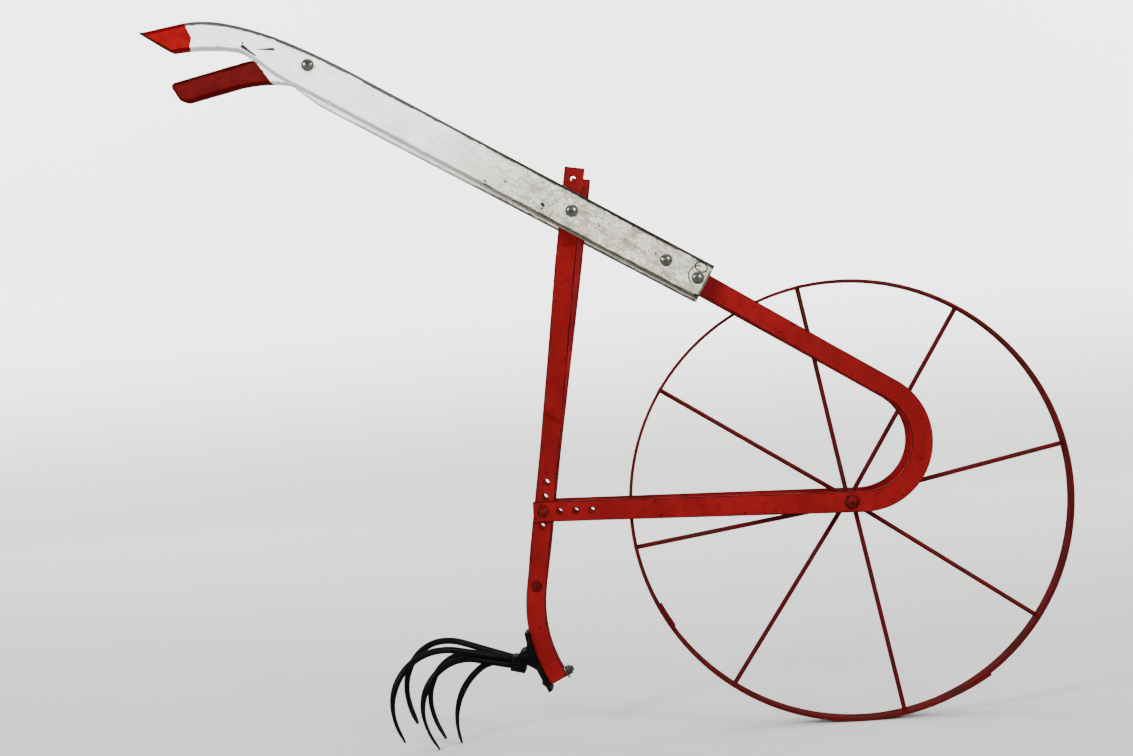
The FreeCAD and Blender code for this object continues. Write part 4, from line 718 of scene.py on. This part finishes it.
for node in BARS + STANDARDS:
    finish_steel(node, "red_paint")
finish_steel("tool_bracket", "black_iron", 2.0, 0.7)
finish_steel("tine_clamp", "black_iron", 1.5, 0.8)
dress(soften(painted_rim(merged_copy("wheel_rim", "wheel_rim_finished")), 2.0 * MM, 0.3 * MM), ["wheel_rim"],
      "wheel_paint")
finish_steel("wheel_hub", "wheel_paint", 1.5, 0.5)
for node in ("junction_spacer", "foot_spacer"):
    finish_steel(node, "red_paint", 1.0, 0.5)
for node in ("axle_washer_left", "axle_washer_right"):
    finish_steel(node, "bolt_paint", 1.0, 0.4)
finish_steel("tool_washer", "zinc_nut", 1.0, 0.3)
for node in SPOKES:
    dress(smooth_piece(merged_copy(node, f"{node}_finished")), [node], "wheel_paint")
for node in TINES:
    dress(smooth_piece(with_scale(merged_copy(node, f"{node}_finished"))), [node], "black_iron")
for node in ("axle_bolt", "junction_bolt", "foot_bolt"):
    finish_steel(node, "bolt_paint", 0.8, 0.4)
for node in ("clamp_bolt", "tool_bolt"):
    finish_steel(node, "black_iron", 0.8, 0.4)

# Nuts, domed bolts, threads and riveted spoke ends, grown from their sizes


def geometry_tree(name, sizes):
    """Empty tree that turns points into pieces. Gives its wiring, its inputs and its end."""
    tree = bpy.data.node_groups.new(name, "GeometryNodeTree")
    tree.interface.new_socket(name="Geometry", in_out="INPUT", socket_type="NodeSocketGeometry")
    for label, value in sizes.items():
        socket = tree.interface.new_socket(name=label, in_out="INPUT", socket_type="NodeSocketFloat")
        socket.default_value = value
    tree.interface.new_socket(name="Finish", in_out="INPUT", socket_type="NodeSocketMaterial")
    tree.interface.new_socket(name="Geometry", in_out="OUTPUT", socket_type="NodeSocketGeometry")
    start = tree.nodes.new("NodeGroupInput")
    end = tree.nodes.new("NodeGroupOutput")
    return Wiring(tree), start.outputs, end.inputs["Geometry"]


def set_out(wire, start, end, piece):
    """Puts a piece on every point, turned as the point says, and makes it one plain mesh."""
    turn = wire.add("GeometryNodeInputNamedAttribute", {"Name": "turn"}, "Attribute", data_type="QUATERNION")
    placed = wire.add("GeometryNodeInstanceOnPoints", {
        "Points": start["Geometry"], "Instance": piece, "Rotation": turn})
    real = wire.add("GeometryNodeRealizeInstances", {"Geometry": placed})
    wire.feed(end, wire.add("GeometryNodeSetMaterial", {"Geometry": real, "Material": start["Finish"]}))


def join(wire, *pieces):
    step = wire.tree.nodes.new("GeometryNodeJoinGeometry")
    for piece in pieces:
        wire.tree.links.new(piece, step.inputs["Geometry"])
    return step.outputs["Geometry"]


def axes(wire):
    return wire.split(wire.add("GeometryNodeInputPosition", {}))


def reshape(wire, piece, x, y, z):
    return wire.add("GeometryNodeSetPosition", {"Geometry": piece, "Position": wire.combine(x, y, z)})


def shifted(wire, piece, height):
    return wire.add("GeometryNodeTransform", {"Geometry": piece, "Translation": wire.combine(z=height)})


def thread_ridge(wire, radius, length, pitch):
    """Ridge of a screw thread that rises from the origin."""
    line = wire.add("GeometryNodeCurveSpiral", {
        "Resolution": 20, "Rotations": wire.calc("DIVIDE", length, pitch), "Height": length,
        "Start Radius": wire.minus(radius, 0.55 * MM), "End Radius": wire.minus(radius, 0.36 * MM)})
    ridge = wire.add("GeometryNodeCurvePrimitiveCircle", {"Resolution": 4, "Radius": 0.42 * MM})
    return wire.add("GeometryNodeCurveToMesh", {"Curve": line, "Profile Curve": ridge, "Fill Caps": True})


CHAMFER_SLOPE = 1.732
FLAT_TURN = math.pi / 6


def make_nut_tree():
    """Hexagon nuts with turned-off corners."""
    wire, start, end = geometry_tree("hexagon_nuts", {"Flats": 13.0 * MM, "Height": 6.5 * MM})
    block = wire.add("GeometryNodeMeshCylinder", {
        "Vertices": 72, "Side Segments": 12, "Fill Segments": 1, "Radius": 1.0, "Depth": 2.0})
    x, y, z = axes(wire)
    half = wire.times(start["Flats"], 0.5)
    turn = wire.calc("WRAP", wire.calc("ARCTAN2", y, x), FLAT_TURN, -FLAT_TURN)
    side = wire.calc("DIVIDE", half, wire.calc("COSINE", turn))
    level = wire.calc("POWER", wire.calc("ABSOLUTE", z), 0.4)
    tall = wire.times(start["Height"], 0.5)
    spare = wire.times(wire.minus(1.0, level), tall)
    turned = wire.plus(wire.times(half, 0.96), wire.times(spare, CHAMFER_SLOPE))
    reach = wire.calc("MINIMUM", side, turned)
    height = wire.times(wire.times(level, tall), wire.calc("SIGN", z))
    nut = reshape(wire, block, wire.times(x, reach), wire.times(y, reach), height)
    set_out(wire, start, end, nut)


def make_domed_bolt_tree():
    """Domed bolts: the origin is under the head, and the threaded end is below."""
    wire, start, end = geometry_tree("domed_bolts", {
        "Head Radius": 8.2 * MM, "Head Height": 5.0 * MM, "Shank Radius": 4.0 * MM, "Length": 40.0 * MM,
        "Thread": 12.0 * MM, "Pitch": 1.25 * MM})
    ball = wire.add("GeometryNodeMeshUVSphere", {"Segments": 56, "Rings": 36, "Radius": 1.0})
    x, y, z = axes(wire)
    rim = wire.times(start["Head Height"], 0.16)
    rise = wire.plus(wire.times(z, wire.minus(start["Head Height"], rim)), rim)
    reach = start["Head Radius"]
    head = reshape(wire, ball, wire.times(x, reach), wire.times(y, reach),
                   wire.calc("MAXIMUM", rise, -0.2 * MM))
    core = wire.minus(start["Shank Radius"], 0.5 * MM)
    rod = wire.add("GeometryNodeMeshCylinder", {
        "Vertices": 28, "Side Segments": 1, "Fill Segments": 1, "Radius": core, "Depth": start["Length"]})
    rod = shifted(wire, rod, wire.times(start["Length"], -0.5))
    ridge = thread_ridge(wire, start["Shank Radius"], start["Thread"], start["Pitch"])
    ridge = shifted(wire, ridge, wire.minus(0.5 * MM, start["Length"]))
    set_out(wire, start, end, join(wire, head, rod, ridge))


def make_thread_tree():
    """Threads on the ends of the other bolts: the origin is the bolt's end."""
    wire, start, end = geometry_tree("bolt_threads", {
        "Shank Radius": 4.0 * MM, "Thread": 10.0 * MM, "Pitch": 1.25 * MM})
    set_out(wire, start, end, thread_ridge(wire, start["Shank Radius"], start["Thread"], start["Pitch"]))


def make_peened_tree():
    """Low riveted ends of the spokes on the tread of the wheel."""
    wire, start, end = geometry_tree("peened_ends", {"Radius": 4.4 * MM, "Height": 0.55 * MM})
    ball = wire.add("GeometryNodeMeshUVSphere", {"Segments": 28, "Rings": 14, "Radius": 1.0})
    x, y, z = axes(wire)
    turn = wire.calc("ARCTAN2", y, x)
    lumps = wire.plus(1.0, wire.times(wire.calc("SINE", wire.times(turn, 5.0)), 0.05))
    wide = wire.times(start["Radius"], lumps)
    level = wire.times(wire.calc("SIGN", z), wire.calc("POWER", wire.calc("ABSOLUTE", z), 0.6))
    flat = wire.times(start["Height"], level)
    set_out(wire, start, end, reshape(wire, ball, wire.times(x, wide), wire.times(y, wide), flat))


for make_tree in (make_nut_tree, make_domed_bolt_tree, make_thread_tree, make_peened_tree):
    make_tree()


def rows_of(entries, label):
    """The three numbers of every point of a mesh, one row each."""
    values = np.empty(len(entries) * 3, np.float32)
    entries.foreach_get(label, values)
    return values.reshape(-1, 3)


def node_points(node):
    """The corners of a CAD node, each once."""
    places = rows_of(frame["nodes"][node].data.vertices, "co")
    return np.unique(np.round(places, 5), axis=0).astype(float)


def long_axis(node):
    """A point on a bolt's or a spoke's middle line, and its direction."""
    points = node_points(node)
    centre = np.array(middle(node))
    direction = np.linalg.eigh(np.cov((points - points.mean(axis=0)).T))[1][:, 2]
    return Vector(centre), Vector(direction).normalized()


def along_axis(node, centre, direction):
    """Each corner's place along a line and its distance from it."""
    offset = node_points(node) - np.array(centre)
    along = offset @ np.array(direction)
    return along, np.linalg.norm(offset - np.outer(along, np.array(direction)), axis=1)


def turn_to(direction, corner=None):
    """Turn that sets a piece's height along a direction, and its flat side beside a corner."""
    if corner is None:
        return direction.to_track_quat("Z", "Y")
    out = (corner - direction * corner.dot(direction)).normalized()
    turn = Matrix((out, direction.cross(out), direction)).transposed()
    return (turn @ Matrix.Rotation(FLAT_TURN, 3, "Z")).to_quaternion()


def grow(name, tree, spots, sizes, finish):
    """Runs a tree on points that each have a place and a turn, and keeps the plain mesh."""
    mesh = bpy.data.meshes.new(name)
    mesh.from_pydata([place for place, _ in spots], [], [])
    turns = mesh.attributes.new("turn", "QUATERNION", "POINT")
    turns.data.foreach_set("value", [part for _, turn in spots for part in turn])
    piece = new_object(name, mesh)
    step = piece.modifiers.new("grow", "NODES")
    step.node_group = bpy.data.node_groups[tree]
    values = dict(sizes, Finish=FINISH[finish])
    for socket in step.node_group.interface.items_tree:
        if socket.in_out == "INPUT" and socket.name in values:
            step[socket.identifier] = values[socket.name]
    return smooth_piece(applied(piece), 35.0)


def bolt_line(bolt, nut):
    """A bolt's middle line, from its head toward its nut, taken from the nut's own middle."""
    _, direction = long_axis(bolt)
    nut_middle = middle(nut) if nut else middle(bolt)
    along, away = along_axis(bolt, nut_middle, direction)
    head = along[np.argmax(away)]
    return nut_middle, direction if head < 0 else -direction


def grow_nuts(name, pairs, finish):
    """Hexagon nuts of one size, each on its own bolt."""
    spots = []
    for nut, bolt in pairs:
        centre, direction = bolt_line(bolt, nut)
        along, away = along_axis(nut, centre, direction)
        corner = Vector(node_points(nut)[np.argmax(away)]) - centre
        spots.append((centre, turn_to(direction, corner)))
        height, reach = along.max() - along.min(), away.max()
    sizes = {"Flats": reach * 2 * math.cos(FLAT_TURN), "Height": height}
    return dress(grow(name, "hexagon_nuts", spots, sizes, finish), [nut for nut, _ in pairs], finish)


WIDER_THAN_SHANK = 6.0 * MM


def grow_domed_bolts(name, bolts, finish, thread):
    """Domed bolts of one size, set on their CAD solids."""
    spots = []
    for bolt in bolts:
        side = "right" if bolt.endswith("right") else "left"
        outward = BOARD[side][2]
        points = node_points(bolt)
        flat_centre = points.mean(axis=0)
        along, away = along_axis(bolt, flat_centre, outward)
        wide = away > WIDER_THAN_SHANK
        base, top = along[wide].min(), along.max()
        reach, shank = away.max(), away[along < along.min() + 0.2 * MM].max()
        spots.append((Vector(flat_centre) + outward * float(base), turn_to(outward)))
        length = base - along.min()
    sizes = {"Head Radius": reach, "Head Height": top - base, "Shank Radius": shank, "Length": length,
             "Thread": thread}
    return dress(grow(name, "domed_bolts", spots, sizes, finish), list(bolts), finish)


FRAME_PAIRS = [("junction_nut", "junction_bolt"), ("foot_nut", "foot_bolt")]
# The names of the nuts and of the threads, their nut and bolt pairs, and their finish.
FASTENED = (
    ("tool_nut_finished", "tool_bolt_thread", [("tool_nut", "tool_bolt")], "zinc_nut"),
    ("frame_nuts", "frame_bolt_threads", FRAME_PAIRS, "bolt_paint"),
    ("clamp_nut_finished", "clamp_bolt_thread", [("clamp_nut", "clamp_bolt")], "black_iron"),
    ("axle_nut_finished", "axle_bolt_thread", [("axle_nut", "axle_bolt")], "bolt_paint"),
)

grow_nuts("handle_nuts", [(nut, nut.replace("nut", "bolt")) for nut in HANDLE_NUTS], "zinc_nut")
for name, _, pairs, finish in FASTENED:
    grow_nuts(name, pairs, finish)
for place in ("front", "middle", "rear"):
    grow_domed_bolts(f"handle_bolts_{place}", [f"handle_bolt_{place}_{side}" for side in SIDES], "zinc",
                     14.0 * MM)
grow_domed_bolts("rung_bolts", RUNG_BOLTS, "zinc", 30.0 * MM)


FREE_END = 6.0 * MM
THREAD_LENGTH = 5.0 * MM


def grow_threads(name, pairs, finish):
    """Thread ridges on the free ends of bolts."""
    spots = []
    for nut, bolt in pairs:
        centre, direction = bolt_line(bolt, nut)
        along, away = along_axis(bolt, centre, direction)
        end = along.max()
        shank = away[along > end - FREE_END].max()
        spots.append((centre + direction * float(end - 0.45 * MM), turn_to(-direction)))
    sizes = {"Shank Radius": shank + 0.3 * MM, "Thread": THREAD_LENGTH}
    dress(grow(name, "bolt_threads", spots, sizes, finish), pairs[0][1:], finish, replaced=False)


for _, name, pairs, finish in FASTENED:
    grow_threads(name, pairs, finish)


def grow_peened_ends():
    """Riveted ends where the spokes come through the rim."""
    centre, radius = rim_circle()
    spots = []
    for spoke in SPOKES:
        spoke_middle, direction = long_axis(spoke)
        out = spoke_middle - centre
        if direction.dot(out) < 0:
            direction = -direction
        level = Vector((direction.x, 0.0, direction.z)).normalized()
        reach = radius - Vector((out.x, 0.0, out.z)).dot(level)
        side = spoke_middle.y + direction.y * reach / math.hypot(direction.x, direction.z)
        spots.append((centre + level * radius + Vector((0.0, side - centre.y, 0.0)), turn_to(level)))
    piece = grow("peened_spoke_ends", "peened_ends", spots, {}, "wheel_paint")
    dress(piece, ["wheel_rim"], "wheel_paint", replaced=False)


grow_peened_ends()

# Wooden handles

BOARD_VOXEL = 1.6 * MM
ARRIS_ROUNDS = 4
ARRIS_GAIN = 2.6
# Past STUB_START the broken stub is drawn out to the rear, a little inward and STUB_DROOP below level.
STUB_START = 0.645
STUB_LENGTH = 0.09
STUB_STRETCH = 7.0
STUB_DROOP = 0.17
STUB_DIRECTION = (math.cos(RISE + STUB_DROOP), -0.14, -math.sin(RISE + STUB_DROOP))


def even_mesh(piece, directions, size):
    """Remeshes a board to even faces, square to its own directions."""
    origin, along, outward, up = directions
    turn = Matrix((along, outward, up)).to_4x4()
    home = turn @ Matrix.Translation(-origin)
    flip = home.determinant() < 0
    piece.data.transform(home)
    if flip:
        piece.data.flip_normals()
    remesh = piece.modifiers.new("even", "REMESH")
    remesh.mode = "VOXEL"
    remesh.voxel_size = size
    remesh.adaptivity = 0.0
    applied(piece)
    return home, flip


def store(mesh, name, values, kind="FLOAT"):
    layer = mesh.attributes.new(name, kind, "POINT")
    layer.data.foreach_set("value" if kind == "FLOAT" else "vector", np.asarray(values, np.float32).ravel())


def spread(mesh, values, rounds):
    """Averages a value over neighbouring points."""
    edges = np.empty(len(mesh.edges) * 2, np.int32)
    mesh.edges.foreach_get("vertices", edges)
    first, second = edges.reshape(-1, 2).T
    count = np.bincount(edges, minlength=len(values)).astype(np.float32)
    for _ in range(rounds):
        total = np.bincount(first, values[second], len(values))
        total += np.bincount(second, values[first], len(values))
        values = (values + total) / (count + 1.0)
    return values


def place_points(mesh, points):
    mesh.vertices.foreach_set("co", np.asarray(points, np.float32).ravel())
    mesh.update()


def break_plane(mesh, outward):
    """The flat face at the rear end of a broken handle: its middle and its direction."""
    rear = min(corner.co.x for corner in mesh.vertices) + 0.045
    areas = {}
    for face in mesh.polygons:
        if face.center.x < rear and face.normal.x < -0.3 and abs(face.normal.dot(outward)) < 0.02:
            key = tuple(round(part, 2) for part in face.normal)
            total, middle_sum = areas.get(key, (0.0, Vector()))
            areas[key] = (total + face.area, middle_sum + face.center * face.area)
    normal, (area, middle_sum) = max(areas.items(), key=lambda entry: entry[1][0])
    return middle_sum / area, Vector(normal).normalized()


def break_masks(points, torn, home):
    """How much of each point's surface is bare broken wood."""
    centre, normal = torn
    away = np.abs((points - np.asarray(home @ centre)) @ np.asarray(home.to_3x3() @ normal))
    return np.clip(2.2 - away / (0.9 * MM), 0.0, 1.0)


def rough_board(points, normals, arris, broken, middle_plane, torn, home):
    """Dents along the worn edges, and splinters on the break, always into the wood."""
    moved = points.copy()
    for index in np.flatnonzero(np.abs(arris) > 0.12):
        along = float(points[index, 0])
        level = 1.0 if arris[index] > 0 else 7.0
        dent = noise.noise(Vector((along * 95.0, level, 0.0))) + 0.5 * noise.noise(
            Vector((along * 320.0, level, 3.0)))
        depth = min(max(dent - 0.08, 0.0) * 2.2, 1.1) * MM * min(abs(arris[index]) * 2.0, 1.0)
        moved[index, 2] -= math.copysign(depth, normals[index, 2])
        moved[index, 1] -= math.copysign(depth * 0.6, points[index, 1] - middle_plane)
    if torn:
        normal = np.asarray(home.to_3x3() @ torn[1])
        for index in np.flatnonzero(broken > 0.0):
            across, up = float(points[index, 1]), float(points[index, 2])
            splinter = 0.5 + 0.5 * noise.noise(Vector((across * 260.0, up * 900.0, 5.0)))
            step = 0.5 + 0.5 * noise.noise(Vector((across * 90.0, up * 170.0, 9.0)))
            depth = (splinter * 1.6 + step * 3.4) * MM * float(broken[index])
            moved[index] -= normal * depth
        past = np.clip((points[:, 0] - STUB_START) / STUB_LENGTH, 0.0, 1.0)
        moved += np.outer(past * STUB_STRETCH * MM, STUB_DIRECTION)
    return moved


def finish_board(side, finish):
    node = f"handle_{side}"
    piece = merged_copy(node, f"{node}_finished")
    torn = break_plane(piece.data, BOARD[side][2]) if side == "right" else None
    home, flip = even_mesh(piece, BOARD[side], BOARD_VOXEL)
    mesh = piece.data
    points = rows_of(mesh.vertices, "co")
    normals = rows_of(mesh.vertex_normals, "vector")
    middle_plane = (points[:, 1].max() + points[:, 1].min()) / 2
    flatness = np.abs(normals[:, 1])
    corner = 1.0 - np.abs(2.0 * flatness ** 2 - 1.0)
    sign = np.where(normals[:, 2] > 0, 1.0, -1.0)
    arris = spread(mesh, np.clip(corner, 0, 1) * sign, ARRIS_ROUNDS)
    place = points.copy()
    place[:, 1] -= middle_plane
    store(mesh, "board", place, "FLOAT_VECTOR")
    store(mesh, "arris", np.clip(arris * ARRIS_GAIN, -1, 1))
    # How much each point faces down, which the finish darkens as dirt and painted shade.
    store(mesh, "under", np.clip(-normals[:, 2] * 1.6 - 0.6, 0.0, 1.0))
    broken = break_masks(points, torn, home) if torn else np.zeros(len(points))
    store(mesh, "broken", broken)
    place_points(mesh, rough_board(points, normals, arris, broken, middle_plane, torn, home))
    mesh.transform(home.inverted())
    if flip:
        mesh.flip_normals()
    mesh.shade_smooth()
    return dress(piece, [node], finish)


finish_board("right", "near_handle")
finish_board("left", "far_handle")


def finish_rung():
    """Round rung between the handles, its grain along its length."""
    piece = soften(merged_copy("handle_rung", "handle_rung_finished"), 1.0 * MM, 0.6 * MM)
    mesh = piece.data
    points = rows_of(mesh.vertices, "co")
    centre = middle("handle_rung")
    place = np.column_stack((points[:, 1], points[:, 0] - centre.x, points[:, 2] - centre.z))
    store(mesh, "board", place, "FLOAT_VECTOR")
    for name in ("arris", "broken", "under"):
        store(mesh, name, np.zeros(len(points)))
    return dress(piece, ["handle_rung"], "rung")


finish_rung()

# Floor, lights and camera


# The floor is coloured darker than the wall and fades to the wall's white up the curve: painted shade on one
# paper.
SHADED_PAPER_FLOOR = colour(0.38, 0.375, 0.365)
PAPER_WALL = colour(0.93, 0.93, 0.935)


def make_cove():
    """Round studio floor that curves up into a wall and is open on top."""
    profile = [(0.0, 0.0), (2.0, 0.0), (4.6, 0.0)]
    for step in range(1, 13):
        angle = math.radians(90.0 * step / 12)
        profile.append((4.6 + 1.4 * math.sin(angle), 1.4 - 1.4 * math.cos(angle)))
    profile.append((6.0, 3.4))
    shape = bmesh.new()
    count = 96
    rings = []
    for radius, height in profile[1:]:
        rings.append([shape.verts.new((radius * math.cos(math.tau * index / count),
                                       radius * math.sin(math.tau * index / count), height))
                      for index in range(count)])
    shape.faces.new(rings[0])
    for low, high in zip(rings, rings[1:]):
        for index in range(count):
            after = (index + 1) % count
            shape.faces.new((low[index], low[after], high[after], high[index]))
    bmesh.ops.recalc_face_normals(shape, faces=shape.faces)
    if next(iter(shape.faces)).normal.z < 0:
        bmesh.ops.reverse_faces(shape, faces=shape.faces)
    mesh = bpy.data.meshes.new("studio_cove")
    shape.to_mesh(mesh)
    shape.free()
    mesh.shade_smooth()
    cove = new_object("studio_cove", mesh)
    material, wire, shader, place = start_finish("studio_paper", {"Roughness": 0.9})
    height = wire.split(place)[2]
    wire.feed(shader["Base Color"], wire.mix(wire.fade(height, 0.0, 0.9), SHADED_PAPER_FLOOR, PAPER_WALL))
    mesh.materials.append(material)


def make_light(name, place, target, size, power):
    data = bpy.data.lights.new(name, "AREA")
    data.shape = "RECTANGLE"
    data.size, data.size_y = size
    data.energy = power
    lamp = new_object(name, data)
    lamp.location = place
    lamp.rotation_euler = (Vector(target) - Vector(place)).to_track_quat("-Z", "Y").to_euler()


def make_camera():
    data = bpy.data.cameras.new("camera")
    data.sensor_width = 36.0
    data.lens = 60.01
    data.clip_end = 40.0
    camera = new_object("camera", data)
    camera.location = (0.0977, -2.6317, 0.5342)
    camera.rotation_euler = [math.radians(angle) for angle in (89.2796, 4.1179, 3.2506)]
    bpy.context.scene.camera = camera


make_cove()
for light in (
        ("soft_left", (-2.3, -3.3, 2.2), (0.0, 0.0, 0.5), (0.9, 1.1), 240.0),
        ("soft_right", (2.5, -3.0, 2.0), (0.0, 0.0, 0.5), (0.9, 1.1), 165.0),
        ("soft_top", (0.0, 0.3, 3.6), (0.0, 0.0, 0.0), (3.2, 3.2), 110.0),
        ("wall_left", (-2.6, 2.4, 3.3), (-1.0, 6.0, 1.2), (2.4, 0.8), 330.0),
        ("wall_right", (2.6, 2.4, 3.3), (1.0, 6.0, 1.2), (2.4, 0.8), 330.0)):
    make_light(*light)
make_camera()
world = bpy.data.worlds.new("studio_light")
world.use_nodes = True
world.node_tree.nodes["Background"].inputs["Color"].default_value = colour(0.95, 0.97, 1.0)
world.node_tree.nodes["Background"].inputs["Strength"].default_value = 1.0
bpy.context.scene.world = world
